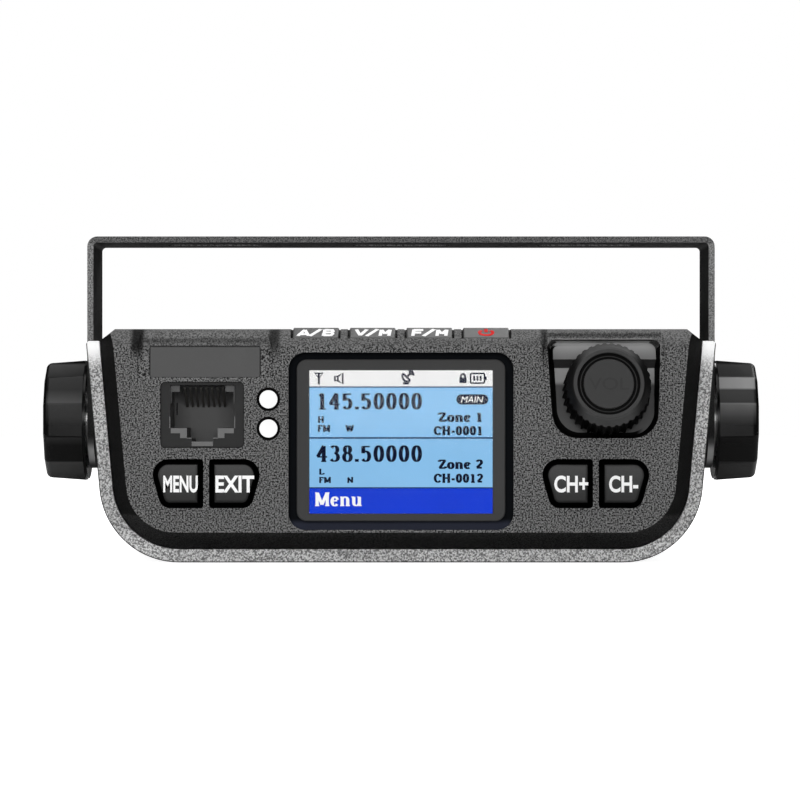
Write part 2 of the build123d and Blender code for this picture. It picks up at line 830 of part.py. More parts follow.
def shield_can(left, right, near, far):
    """Folded lid over part of the board, open underneath."""
    with BuildPart() as can:
        with BuildSketch(level(board_top)):
            add(pane(left, right, near, far, 0.6))
        extrude(amount=can_height)
        fillet(can.edges().group_by(Axis.Z)[-1], 0.4)
        with BuildSketch(level(board_top)):
            add(pane(left + can_sheet, right - can_sheet, near + can_sheet, far - can_sheet, 0.4))
        extrude(amount=can_height - can_sheet, mode=Mode.SUBTRACT)
        with BuildSketch(level(board_top + can_height)):
            with Locations(((left + right) / 2, (near + far) / 2)):
                with GridLocations(4.0, 4.0, 4, 3):
                    Circle(0.7)
        extrude(amount=-1, mode=Mode.SUBTRACT)
    return can


receiver_shield = shield_can(-43.0, -9.0, -23.5, 0.0)
synthesizer_shield = shield_can(9.0, 33.0, -23.5, -5.0)

with BuildPart() as power_amplifier:
    with BuildSketch(level(amplifier_pad)):
        add(pane(-amplifier_x, amplifier_x, amplifier_y - 6.5, amplifier_y + 6.5, 1.0))
        with Locations((amplifier_bolt, amplifier_y), (-amplifier_bolt, amplifier_y)):
            Circle(m3 + 0.15, mode=Mode.SUBTRACT)
    extrude(amount=amplifier_flange)
    with BuildSketch(level(amplifier_pad + amplifier_flange)):
        with Locations((0, amplifier_y)):
            RectangleRounded(35.0, 13.0, 0.6)
    extrude(amount=5.8)
    with BuildSketch(level(board_top)):
        with Locations((0, amplifier_y - 8.4)):
            with GridLocations(6.0, 1, 5, 1):
                Rectangle(1.0, 4.4)
    extrude(amount=0.4)

with BuildPart() as power_amplifier_screws:
    flange_top = amplifier_pad + amplifier_flange
    with Locations(*[(sx * amplifier_bolt, amplifier_y, flange_top) for sx in (1, -1)]):
        add(pan_screw(m3, 5.8, 2.6, 2.0))

with BuildPart() as filter_capacitors:
    with BuildSketch(level(board_top)):
        with Locations((-34, 18), (-34, 29), (34, 18)):
            Circle(4.0)
    extrude(amount=12)
    fillet(filter_capacitors.edges().group_by(Axis.Z)[-1], 0.5)

with BuildPart() as board_connectors:
    with BuildSketch(level(board_top)):
        with Locations((0, -29.5)):
            RectangleRounded(27, 3.6, 0.3)
    extrude(amount=2.0)
    with BuildSketch(front(board_back)):
        with Locations((0, 12.5)):
            RectangleRounded(27, 3.6, 0.3)
    extrude(amount=-2.0)

with BuildPart() as ribbon_cable:
    with BuildSketch(side(0)):
        with BuildLine() as run:
            Polyline(
                (-board_back + 2.0, 12.5), (-36.2, 12.5), (-35.2, 17.0),
                (-29.5, 17.0), (-29.5, board_top + 2.0),
            )
            fillet(run.vertices().sort_by(Axis.X)[1:-1].filter_by(lambda v: v.Y > 12.4), 0.8)
        trace(line_width=0.3)
    extrude(amount=12.5, both=True)

# ---------------------------------------------------------------- speaker under the cover
speaker_section = Plane((0, speaker_y, 0), x_dir=(1, 0, 0), z_dir=(0, -1, 0))
speaker_axis = Axis((0, speaker_y, 0), (0, 0, 1))

with BuildPart() as speaker_frame:
    with BuildSketch(speaker_section):
        Polygon(
            (0, 34.2), (10.2, 34.2), (18.4, 41.0), (speaker_radius, 41.0), (speaker_radius, cover_seat),
            (18.0, cover_seat), (18.0, 41.9), (9.8, 35.0), (0, 35.0), align=None,
        )
    revolve(axis=speaker_axis)

with BuildPart() as speaker_cone:
    with BuildSketch(speaker_section):
        Polygon(
            (0, 38.6), (3, 38.3), (5.6, 37.0), (17.4, 41.7), (17.4, 42.0), (5.6, 37.4), (3, 38.7), (0, 39.0),
            align=None,
        )
    revolve(axis=speaker_axis)

with BuildPart() as speaker_magnet:
    with BuildSketch(level(29.4)):
        with Locations((0, speaker_y)):
            Circle(9.5)
    extrude(amount=4.8)
    fillet(speaker_magnet.edges().group_by(Axis.Z)[0], 0.5)

# ---------------------------------------------------------------- rear connectors
flange_side = 25.4
flange_thickness = 1.6
flange_back = rear_wall_outside + flange_thickness
socket_mouth = 66.0
socket_radius = 7.94


def rear(x, distance, z):
    """Upright plane facing backwards at a point behind the pivot axis."""
    return Plane((x, distance, z), x_dir=(-1, 0, 0), z_dir=(0, 1, 0))


bore_back = 45.0
contact_back = 41.0
with BuildPart() as antenna_socket:
    with BuildSketch(rear(antenna_x, rear_wall_outside, antenna_z)):
        RectangleRounded(flange_side, flange_side, 2.0)
        with GridLocations(flange_bolt, flange_bolt, 2, 2):
            Circle(m3 + 0.15, mode=Mode.SUBTRACT)
    extrude(amount=flange_thickness)
    with BuildSketch(rear(antenna_x, flange_back, antenna_z)):
        Circle(socket_radius)
    extrude(amount=socket_mouth - flange_back)
    chamfer(antenna_socket.edges().sort_by(Axis.Y)[-1], 0.4)
    with BuildSketch(rear(antenna_x, rear_wall_outside, antenna_z)):
        Circle(7.4)
    extrude(amount=-3.6)
    with BuildSketch(rear(antenna_x, bore_back, antenna_z)):
        Circle(6.0)
    extrude(amount=30, mode=Mode.SUBTRACT)

with BuildPart() as antenna_insulator:
    with BuildSketch(rear(antenna_x, bore_back + 0.4, antenna_z)):
        Circle(5.99)
        Circle(2.71, mode=Mode.SUBTRACT)
    extrude(amount=13.6)

with BuildPart() as antenna_contact:
    with BuildSketch(rear(antenna_x, contact_back, antenna_z)):
        Circle(2.7)
    extrude(amount=22.5)
    with BuildSketch(rear(antenna_x, contact_back + 11, antenna_z)):
        Circle(2.0)
    extrude(amount=20, mode=Mode.SUBTRACT)

with BuildPart() as antenna_socket_screws:
    for sx in (1, -1):
        for sz in (1, -1):
            bolt_x = antenna_x + sx * flange_bolt / 2
            bolt_z = antenna_z + sz * flange_bolt / 2
            with Locations(rear(bolt_x, flange_back, bolt_z)):
                add(pan_screw(m3, 5.2, 2.7, 1.8))

power_floor = 43.6

with BuildPart() as power_socket:
    with BuildSketch(rear(power_x, power_floor - 1.6, power_z)):
        RectangleRounded(15.0, 10.0, 1.1)
    extrude(amount=11.0)
    with BuildSketch(rear(power_x, rear_wall_outside, power_z)):
        RectangleRounded(18.4, 13.4, 1.6)
    extrude(amount=1.4)
    with BuildSketch(rear(power_x, power_floor, power_z)):
        RectangleRounded(12.4, 7.4, 0.6)
    extrude(amount=20, mode=Mode.SUBTRACT)

with BuildPart() as power_socket_pins:
    with BuildSketch(rear(power_x, power_floor, power_z)):
        with GridLocations(6.4, 1, 2, 1):
            Circle(1.3)
    extrude(amount=7.4)

jack35_front = 36.5

with BuildPart() as speaker_jack:
    with BuildSketch(rear(jack35_x, jack35_front, jack35_z)):
        RectangleRounded(9.0, 9.0, 0.6)
    extrude(amount=rear_wall_inside - jack35_front)
    with BuildSketch(rear(jack35_x, jack35_front + 3.5, jack35_z)):
        Circle(3.0)
    extrude(amount=11.2)
    with BuildSketch(rear(jack35_x, rear_wall_outside, jack35_z)):
        RegularPolygon(4.6, 6)
        Circle(2.9, mode=Mode.SUBTRACT)
    extrude(amount=1.6)
    with BuildSketch(rear(jack35_x, jack35_front + 1.5, jack35_z)):
        Circle(1.8)
    extrude(amount=20, mode=Mode.SUBTRACT)

# ---------------------------------------------------------------- bracket and thumb knobs
foot_drop = 9.5
arm_foot = pivot_z - foot_drop
with BuildPart() as bracket:
    with BuildSketch(front(strip_width / 2)):
        add(pane(-bracket_gap - strip, bracket_gap + strip, -20, bracket_top, bracket_bend + strip))
        add(pane(-bracket_gap, bracket_gap, -30, bracket_top - strip, bracket_bend), mode=Mode.SUBTRACT)
        with Locations((0, arm_foot)):
            Rectangle(200, 200, align=(Align.CENTER, Align.MAX), mode=Mode.SUBTRACT)
    extrude(amount=-strip_width)
    with BuildSketch(side(0)):
        with Locations((0, arm_foot)):
            Rectangle(strip_width + 2, 2 * foot_drop)
        with Locations((0, (arm_foot + bracket_top) / 2)):
            RectangleRounded(strip_width, bracket_top - arm_foot, foot_drop, mode=Mode.SUBTRACT)
    extrude(amount=80, both=True, mode=Mode.SUBTRACT)
    with BuildSketch(side(0)):
        with Locations((0, pivot_z)):
            Circle(stud_radius + running)
    extrude(amount=80, both=True, mode=Mode.SUBTRACT)
    with BuildSketch(level(bracket_top)):
        with Locations((-slot_pitch, 0), (0, 0), (slot_pitch, 0)):
            SlotOverall(slot_length, slot_width)
    extrude(amount=-strip - 1, mode=Mode.SUBTRACT)

arm_outside = bracket_gap + strip
knob_inside = arm_outside + washer_thickness
grip_inner = knob_inside + grip_step


def outward(hand, distance, sideways=0.0):
    """Plane on the pivot axis facing away from the body on one side."""
    return Plane((hand * distance, sideways, pivot_z), x_dir=(0, 1, 0), z_dir=(hand, 0, 0))


def washer(hand, inner_x, outer_x, radius):
    """Flat ring round one stud."""
    with BuildPart() as ring:
        with BuildSketch(outward(hand, inner_x)):
            Circle(radius)
            Circle(stud_radius + running, mode=Mode.SUBTRACT)
        extrude(amount=outer_x - inner_x)
    return ring


def knob_stud(hand):
    """M5 stud with the knurled collar that the grip is moulded round."""
    with BuildPart() as stud:
        with BuildSketch(outward(hand, stud_inner)):
            Circle(stud_radius)
        extrude(amount=15.5)
        chamfer(stud.edges().filter_by(GeomType.CIRCLE).sort_by_distance((0, 0, pivot_z))[0], 0.4)
        with BuildSketch(outward(hand, collar_inner)):
            RegularPolygon(4.6, 6)
        extrude(amount=3.0)
    return stud


def thumb_grip(hand, stud):
    """Faceted hand grip with a round flange next to the bracket."""
    with BuildPart() as grip:
        with BuildSketch(outward(hand, grip_inner)):
            RegularPolygon(grip_radius, facets, rotation=15)
        extrude(amount=grip_outer - grip_inner, taper=grip_taper)
        outer_face = grip.faces().sort_by_distance((hand * 200, 0, pivot_z))[0]
        fillet(outer_face.edges(), 1.3)
        with BuildSketch(outward(hand, knob_inside)):
            Circle(grip_flange)
        extrude(amount=flange_width)
        with BuildSketch(outward(hand, grip_outer)):
            Circle(6.6)
        extrude(amount=-0.7, taper=20, mode=Mode.SUBTRACT)
        add(stud.part, mode=Mode.SUBTRACT)
    return grip


left_knob_stud = knob_stud(-1)
right_knob_stud = knob_stud(1)
left_knob = thumb_grip(-1, left_knob_stud)
right_knob = thumb_grip(1, right_knob_stud)
left_knob_washer = washer(-1, arm_outside, knob_inside, 7.0)
right_knob_washer = washer(1, arm_outside, knob_inside, 7.0)

with BuildPart() as rubber_washers:
    for hand in (1, -1):
        add(washer(hand, boss_face, bracket_gap - running, rubber_radius).part)

# ---------------------------------------------------------------- naming and export
pieces = {
    "chassis": chassis,
    "top_cover": top_cover,
    "cover_screws": cover_screws,
    "front_panel": front_panel,
    "panel_screws": panel_screws,
    "nameplate": nameplate,
    "display_bezel": display_bezel,
    "display_lens": display_lens,
    "lcd_panel": lcd_panel,
    "lcd_backlight": lcd_backlight,
    "front_board": front_board,
    "front_board_screws": front_board_screws,
    "front_key_switches": front_key_switches,
    "top_key_switches": top_key_switches,
    "status_leds": status_leds,
    "upper_light_pipe": upper_light_pipe,
    "lower_light_pipe": lower_light_pipe,
    "menu_button": menu_button,
    "exit_button": exit_button,
    "channel_up_button": channel_up_button,
    "channel_down_button": channel_down_button,
    "band_button": band_button,
    "mode_button": mode_button,
    "function_button": function_button,
    "power_button": power_button,
    "mic_jack": mic_jack,
    "mic_jack_contacts": mic_jack_contacts,
    "volume_knob": volume_knob,
    "volume_knob_cap": volume_knob_cap,
    "encoder_shaft": encoder_shaft,
    "volume_encoder": volume_encoder,
    "encoder_nut": encoder_nut,
    "encoder_board": encoder_board,
    "main_board": main_board,
    "main_board_screws": main_board_screws,
    "receiver_shield": receiver_shield,
    "synthesizer_shield": synthesizer_shield,
    "power_amplifier": power_amplifier,
    "power_amplifier_screws": power_amplifier_screws,
    "filter_capacitors": filter_capacitors,
    "board_connectors": board_connectors,
    "ribbon_cable": ribbon_cable,
    "speaker_frame": speaker_frame,
    "speaker_cone": speaker_cone,
    "speaker_magnet": speaker_magnet,
    "antenna_socket": antenna_socket,
    "antenna_insulator": antenna_insulator,
    "antenna_contact": antenna_contact,
    "antenna_socket_screws": antenna_socket_screws,
    "power_socket": power_socket,
    "power_socket_pins": power_socket_pins,
    "speaker_jack": speaker_jack,
    "bracket": bracket,
    "rubber_washers": rubber_washers,
    "left_knob": left_knob,
    "left_knob_stud": left_knob_stud,
    "left_knob_washer": left_knob_washer,
    "right_knob": right_knob,
    "right_knob_stud": right_knob_stud,
    "right_knob_washer": right_knob_washer,
}

os.makedirs("parts", exist_ok=True)
for name, piece in pieces.items():
    piece.part.label = name
    export_step(piece.part, f"parts/{name}.step")
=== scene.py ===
"""Finishes, markings, light and camera for a compact mobile transceiver on a U bracket."""

import math

import bmesh
import bpy
from mathutils import Matrix, Vector


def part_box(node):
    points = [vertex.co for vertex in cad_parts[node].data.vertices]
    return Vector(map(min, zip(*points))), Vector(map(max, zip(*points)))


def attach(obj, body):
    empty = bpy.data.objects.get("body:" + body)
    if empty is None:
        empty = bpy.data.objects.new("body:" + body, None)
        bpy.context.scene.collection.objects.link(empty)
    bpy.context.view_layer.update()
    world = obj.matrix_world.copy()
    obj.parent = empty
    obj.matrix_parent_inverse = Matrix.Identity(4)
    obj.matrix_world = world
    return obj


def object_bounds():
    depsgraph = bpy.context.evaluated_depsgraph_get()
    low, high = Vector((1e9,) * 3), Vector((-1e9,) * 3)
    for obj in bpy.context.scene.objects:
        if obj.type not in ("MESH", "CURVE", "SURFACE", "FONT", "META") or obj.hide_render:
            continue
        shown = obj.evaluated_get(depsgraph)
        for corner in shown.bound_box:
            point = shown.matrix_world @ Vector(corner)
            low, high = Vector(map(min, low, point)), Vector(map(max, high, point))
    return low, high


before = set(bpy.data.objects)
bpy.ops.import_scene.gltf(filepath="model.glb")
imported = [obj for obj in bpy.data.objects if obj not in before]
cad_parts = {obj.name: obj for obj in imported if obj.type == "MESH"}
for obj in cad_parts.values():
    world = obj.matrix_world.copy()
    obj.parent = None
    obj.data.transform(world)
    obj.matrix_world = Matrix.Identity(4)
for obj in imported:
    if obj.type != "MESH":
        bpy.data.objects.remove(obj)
cad_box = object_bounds()

MM = 0.001
RADIO = "radio"

# The chassis outline seen from the front, in millimetres: the lower corners' arc centres and radius, and
# the lean of its sides.
CORNER_X = 42.05
CORNER_RADIUS = 15.15
SIDE_LEAN = math.radians(5.2)

# The volume knob and the recess it stands in, in millimetres from the row frame's origin.
DIAL_CENTRE = (38.3, -46.2, 31.5)
DIAL_TILT = math.radians(10)
CAP_AHEAD = 12.3
RECESS_X = 38.15

# The thumb knobs' axis above the chassis underside, and the height their painted reflection and shade bands
# are spread over.
PIVOT_HEIGHT = 27
BAND_SPAN = 24


# ---------------------------------------------------------------- colours
def tone(level):
    """Linear value of a display level from 0 to 255."""
    share = level / 255
    return share / 12.92 if share <= 0.04045 else ((share + 0.055) / 1.055) ** 2.4


def paint(red, green=None, blue=None):
    """Linear colour from display levels; one level alone is a grey."""
    if green is None:
        return (tone(red), tone(red), tone(red), 1.0)
    return (tone(red), tone(green), tone(blue), 1.0)


# ---------------------------------------------------------------- material building
class Finish:
    """A node material, with short calls for adding nodes and joining them."""

    def __init__(self, name):
        self.material = bpy.data.materials.new(name)
        self.material.use_nodes = True
        self.tree = self.material.node_tree
        self.tree.nodes.clear()
        self.place = self.add("ShaderNodeTexCoord").outputs["Object"]

    def add(self, kind, inputs=None, **settings):
        node = self.tree.nodes.new(kind)
        for key, value in settings.items():
            setattr(node, key, value)
        for key, value in (inputs or {}).items():
            self.feed(node.inputs[key], value)
        return node

    def feed(self, socket, value):
        if isinstance(value, bpy.types.NodeSocket):
            self.tree.links.new(value, socket)
        else:
            socket.default_value = value

    def math(self, operation, *values):
        return self.add("ShaderNodeMath", dict(enumerate(values)), operation=operation).outputs[0]

    def away(self, value, centre):
        """How far a value lies from a centre, either way."""
        return self.math("ABSOLUTE", self.math("SUBTRACT", value, centre))

    def diagonal(self, across, up):
        """Length of the diagonal over two sides at right angles."""
        squares = [self.math("MULTIPLY", side, side) for side in (across, up)]
        return self.math("SQRT", self.math("ADD", *squares))

    def axes(self, vector):
        return self.add("ShaderNodeSeparateXYZ", {0: vector}).outputs

    def world_place(self):
        """The point's place in the world, which stays put when the piece moves."""
        return self.axes(self.add("ShaderNodeNewGeometry").outputs["Position"])

    def ramp(self, value, start, end, low=0.0, high=1.0):
        """Low before start and high after end, smooth between."""
        node = self.add("ShaderNodeMapRange", interpolation_type="SMOOTHSTEP")
        names = ("Value", "From Min", "From Max", "To Min", "To Max")
        for key, number in zip(names, (value, start, end, low, high)):
            self.feed(node.inputs[key], number)
        return node.outputs["Result"]

    def noise(self, grain, detail=2.0, shift=0.0):
        """Noise whose features are about one grain, in metres, across."""
        spot = self.add("ShaderNodeMapping", {"Vector": self.place, "Location": (shift,) * 3})
        sizes = {"Vector": spot.outputs[0], "Scale": 1 / grain, "Detail": detail, "Roughness": 0.6}
        return self.add("ShaderNodeTexNoise", sizes).outputs["Fac"]

    def mix(self, share, first, second):
        node = self.add("ShaderNodeMix", {0: share}, data_type="RGBA")
        self.feed(node.inputs[6], first)
        self.feed(node.inputs[7], second)
        return node.outputs[2]

    def scale(self, colour, factor):
        """A colour made lighter or darker by a factor socket."""
        node = self.add("ShaderNodeVectorMath", operation="SCALE")
        self.feed(node.inputs[0], colour if isinstance(colour, bpy.types.NodeSocket) else colour[:3])
        self.feed(node.inputs["Scale"], factor)
        return node.outputs[0]

    def facing(self):
        """The surface's own direction, before any bump, in the object's axes."""
        turned = self.add(
            "ShaderNodeVectorTransform",
            {0: self.add("ShaderNodeNewGeometry").outputs["True Normal"]},
            vector_type="NORMAL",
            convert_from="WORLD",
            convert_to="OBJECT",
        )
        return self.axes(turned.outputs[0])

    def bump(self, height, depth):
        return self.add("ShaderNodeBump", {"Height": height, "Distance": depth}).outputs[0]

    def shade(self, **inputs):
        """Ends the material with one principled surface."""
        named = {key.replace("_", " "): value for key, value in inputs.items()}
        return self.end(self.add("ShaderNodeBsdfPrincipled", named).outputs[0])

    def end(self, shader):
        self.add("ShaderNodeOutputMaterial", {0: shader})
        return self.material


def grained(name, level, contrast, grain, rough=0.6, depth=0.05 * MM, zones=None, shine=0.25):
    """Spark-eroded or coated surface: fine light and dark grains, with matching bumps.

    Zones give back the colour, a share from 0 to 1 by which the bumps are calmed, and the shine.
    """
    finish = Finish(name)
    speckle = finish.noise(grain, 1.5)
    cloud = finish.noise(30 * grain, 3.0, shift=1.0)
    body = finish.mix(finish.ramp(speckle, 0.36, 0.64), paint(level - contrast), paint(level + contrast))
    body = finish.scale(body, finish.ramp(cloud, 0.2, 0.8, 0.93, 1.07))
    height = speckle
    if zones:
        body, calm, shine = zones(finish, body, shine)
        height = finish.math("MULTIPLY", speckle, finish.math("SUBTRACT", 1.0, calm))
    roughness = finish.ramp(speckle, 0.3, 0.7, rough - 0.1, rough + 0.1)
    return finish.shade(
        Base_Color=body, Roughness=roughness, Specular_IOR_Level=shine, Normal=finish.bump(height, depth)
    )


def smooth(name, colour, rough=0.35, metal=0.0, swing=0.12, zones=None, shine=0.5):
    """Smooth moulded, plated or machined surface with faint handling marks.

    Zones give back the colour and the shine.
    """
    finish = Finish(name)
    cloud = finish.noise(6 * MM, 3.0, shift=2.0)
    fine = finish.noise(0.25 * MM, 2.0)
    body = colour
    if zones:
        body, shine = zones(finish, colour, shine)
    body = finish.scale(body, finish.ramp(cloud, 0.25, 0.75, 1 - swing, 1 + swing))
    roughness = finish.ramp(cloud, 0.25, 0.75, rough * 0.85, rough * 1.15)
    return finish.shade(
        Base_Color=body, Roughness=roughness, Metallic=metal, Specular_IOR_Level=shine,
        Normal=finish.bump(fine, 0.004 * MM)
    )


def inside_pane(finish, left, right, bottom, top, soft=0.05):
    """One between four edges in millimetres, seen from the front; nought outside."""
    x, _, z = finish.axes(finish.place)
    beyond = []
    for value, low, high in ((x, left, right), (z, bottom, top)):
        offset = finish.away(value, (low + high) / 2 * MM)
        beyond.append(finish.math("SUBTRACT", offset, (high - low) / 2 * MM))
    return finish.ramp(finish.math("MAXIMUM", *beyond), soft * MM, 0.0)


def volume_recess(finish):
    """Distance beyond the drafted opening of the volume recess; negative inside."""
    floor, top, floor_half, front = 23.5, 42.3, 9.75, 52
    floor_radius, top_radius = 4.7, 1.7
    widening, leaning = 0.056, -0.0186
    slope = math.tan(math.radians(7))
    x, along, z = finish.axes(finish.place)
    draft = finish.math("MULTIPLY_ADD", along, -slope, -front * slope * MM)
    rise = finish.math("SUBTRACT", z, floor * MM)
    half = finish.math("ADD", finish.math("MULTIPLY_ADD", rise, widening, floor_half * MM), draft)
    middle = finish.math("MULTIPLY_ADD", rise, leaning, RECESS_X * MM)
    beside = finish.math("SUBTRACT", finish.away(x, middle), half)
    below = finish.math("SUBTRACT", floor * MM, finish.math("ADD", z, draft))
    above = finish.math("SUBTRACT", finish.math("SUBTRACT", z, draft), top * MM)
    reach = []
    for radius, beyond in ((floor_radius, below), (top_radius, above)):
        out = finish.math("MAXIMUM", finish.math("ADD", beside, radius * MM), 0.0)
        over = finish.math("MAXIMUM", finish.math("ADD", beyond, radius * MM), 0.0)
        reach.append(finish.math("SUBTRACT", finish.diagonal(out, over), radius * MM))
    return finish.math("MAXIMUM", *reach)


def trough_edge(finish):
    """Distance beyond the chassis outline seen from the front: nought on it, negative inside."""
    x, _, z = finish.axes(finish.place)
    beyond = finish.math("SUBTRACT", finish.math("ABSOLUTE", x), CORNER_X * MM)
    start_x = CORNER_RADIUS * math.cos(SIDE_LEAN) * MM
    start_z = CORNER_RADIUS * (1 - math.sin(SIDE_LEAN)) * MM
    sideways = finish.math("MULTIPLY", finish.math("SUBTRACT", beyond, start_x), math.cos(SIDE_LEAN))
    upwards = finish.math("MULTIPLY", finish.math("SUBTRACT", z, start_z), math.sin(SIDE_LEAN))
    side = finish.math("SUBTRACT", sideways, upwards)
    out = finish.math("MAXIMUM", beyond, 0.0)
    below = finish.math("MAXIMUM", finish.math("SUBTRACT", CORNER_RADIUS * MM, z), 0.0)
    corner = finish.math("SUBTRACT", finish.diagonal(out, below), CORNER_RADIUS * MM)
    low = finish.math("LESS_THAN", z, start_z)
    return finish.math("MULTIPLY_ADD", finish.math("SUBTRACT", corner, side), low, side)


def streak(finish, x, width, bottom, top):
    """A soft upright band, strongest at its top."""
    across, _, z = finish.axes(finish.place)
    beside = finish.away(across, x * MM)
    return finish.math("MULTIPLY", finish.ramp(beside, width * MM, 0.25 * width * MM),
                       finish.ramp(z, bottom * MM, top * MM))


def panel_zones(finish, body, shine):
    """Painted shade on the flanks, the underside and the key gaps, a dark display pocket, and a smooth recess
    round the volume knob painted with light and shade.
    """
    n = finish.facing()
    across, along, height = finish.axes(finish.place)
    # Where each zone lies: the recess, the key gaps, the flanks, the underside and the display pocket.
    beyond = volume_recess(finish)
    recess = finish.ramp(beyond, 0.07 * MM, 0.04 * MM)
    outside = finish.math("SUBTRACT", 1.0, recess)
    sunk = finish.ramp(along, -50.95 * MM, -50.85 * MM)
    gap = finish.math("MULTIPLY", sunk, finish.ramp(height, 34.3 * MM, 34.2 * MM))
    side = finish.ramp(finish.math("ABSOLUTE", n[0]), 0.2, 0.3)
    under = finish.ramp(n[2], -0.18, -0.3)
    edge = finish.ramp(finish.math("ABSOLUTE", across), 49 * MM, 50 * MM)
    low = finish.ramp(height, 9.5 * MM, 9 * MM)
    side = finish.math("MULTIPLY", side, finish.math("MAXIMUM", edge, low))
    under = finish.math("MULTIPLY", under, low)
    pocket = finish.math("MULTIPLY", inside_pane(finish, -21.0, 21.0, 6.4, 39.6), sunk)
    # The recess wall is painted black as shade, with a painted shadow along its left and lower foot, except
    # for a painted lit strip under its upper edge.
    shaded = finish.math("MULTIPLY", finish.ramp(beyond, -0.62 * MM, -0.5 * MM),
                         finish.ramp(across, 45.5 * MM, 44 * MM))
    shaded = finish.math("MULTIPLY", shaded, finish.ramp(height, 41.6 * MM, 40.6 * MM))
    wall = finish.math("MAXIMUM", finish.ramp(finish.math("ABSOLUTE", n[1]), 0.75, 0.6), shaded)
    lintel = finish.math("MULTIPLY", finish.ramp(height, 40.8 * MM, 41.0 * MM),
                         finish.ramp(height, 41.85 * MM, 41.7 * MM))
    beside = finish.away(across, RECESS_X * MM)
    lintel = finish.math("MULTIPLY", lintel, finish.ramp(beside, 9.6 * MM, 9.1 * MM))
    wall = finish.math("MULTIPLY", wall, finish.math("SUBTRACT", 1.0, lintel))
    # The recess's back, painted with light and shade in bands of height from dark below to light above: a lit
    # band, a shaded band under the ledge, and a lit slope above it.
    upper = finish.ramp(height, 38.3 * MM, 42.2 * MM)
    plain = finish.mix(finish.ramp(height, 33.3 * MM, 34.3 * MM), paint(94), paint(176))
    plain = finish.mix(finish.ramp(height, 36.6 * MM, 36.8 * MM), plain, paint(53))
    plain = finish.mix(finish.ramp(height, 38.25 * MM, 38.4 * MM), plain,
                       finish.mix(upper, paint(140), paint(205)))
    plain = finish.mix(wall, plain, paint(8))
    # Soft shadows beside the upper corners and along the upper edge; the strongest one counts.
    shadows = [
        streak(finish, -49.1, 1.9, 37.0, 41.5),
        finish.math("MULTIPLY", streak(finish, -23.6, 1.7, 36.0, 42.5), 0.8),
        finish.math("MULTIPLY", streak(finish, 26.7, 1.1, 33.0, 42.0), 0.7),
        finish.math("MULTIPLY", inside_pane(finish, -48.2, -24.9, 41.7, 41.9, 0.9), 0.5),
        finish.math("MULTIPLY", inside_pane(finish, 27.5, 48.2, 42.7, 42.9, 0.7), 0.6),
    ]
    shadow = shadows[0]
    for more in shadows[1:]:
        shadow = finish.math("MAXIMUM", shadow, more)
    # The grained front, smoother and lighter towards its rolled upper edge, the lightening being painted
    # light from above; then the painted shadows, and each zone over it.
    smoother = finish.ramp(height, 39.6 * MM, 41.6 * MM, 0.0, 0.55)
    grained_body = finish.mix(smoother, body, paint(78))
    grained_body = finish.scale(grained_body, finish.ramp(height, 40 * MM, 43 * MM, 1.0, 1.3))
    grained_body = finish.scale(grained_body, finish.ramp(shadow, 0.0, 1.0, 1.0, 0.1))
    # Painted shade: the flanks at a small share of the front's colour, the underside at a larger one, and the
    # key gaps near black.
    flank = finish.mix(under, finish.scale(body, 0.075), finish.scale(body, 0.25))
    out = finish.mix(gap, grained_body, paint(6))
    out = finish.mix(finish.math("MULTIPLY", finish.math("MAXIMUM", side, under), outside), out, flank)
    out = finish.mix(recess, out, plain)
    low_pocket = finish.ramp(height, 8.6 * MM, 7.4 * MM)
    out = finish.mix(pocket, out, finish.mix(low_pocket, paint(21, 23, 26), paint(54, 57, 70)))
    dark = finish.math("MAXIMUM", finish.math("MAXIMUM", side, under), finish.math("MAXIMUM", gap, pocket))
    dark = finish.math("MAXIMUM", dark, finish.math("MULTIPLY", wall, recess))
    calm = finish.math("MAXIMUM", recess, pocket)
    return out, calm, finish.ramp(dark, 0.0, 1.0, shine, 0.006)


def bracket_zones(finish, body, shine):
    """Painted light and shade: cut edges lit lighter than the shaded broad faces, dimmer along the top web, a
    painted shadow beside the chassis, and a painted highlight on the lower end.
    """
    n = finish.facing()
    height = finish.axes(finish.place)[2]
    edge = finish.ramp(finish.math("ABSOLUTE", n[1]), 0.55, 0.8)
    web = finish.ramp(height, 61.5 * MM, 62.1 * MM)
    # Painted light on the cut edges, dimmer along the top web, with a painted shadow on the arms' edges
    # beside the chassis.
    light = finish.scale(body, finish.ramp(web, 0.0, 1.0, 1.0, 0.6))
    light = finish.scale(light, finish.ramp(height, 42.8 * MM, 42.2 * MM, 1.0, 0.06))
    # Painted shade on the broad faces.
    dark = finish.scale(body, finish.ramp(web, 0.0, 1.0, 0.1, 0.09))
    narrow = finish.ramp(finish.math("ABSOLUTE", n[0]), 0.5, 0.3)
    foot = finish.math("MULTIPLY", narrow, finish.ramp(height, 24 * MM, 22.6 * MM))
    # Painted highlight on the rounded lower end: dark, then bright, then grey going up.
    painted_highlight = finish.mix(finish.ramp(height, 17.9 * MM, 19.6 * MM), paint(44), paint(158))
    painted_highlight = finish.mix(finish.ramp(height, 20.8 * MM, 22.8 * MM), painted_highlight, paint(70))
    body = finish.mix(foot, finish.mix(edge, dark, light), painted_highlight)
    return body, 0.0, finish.ramp(web, 0.0, 1.0, shine, 0.03)


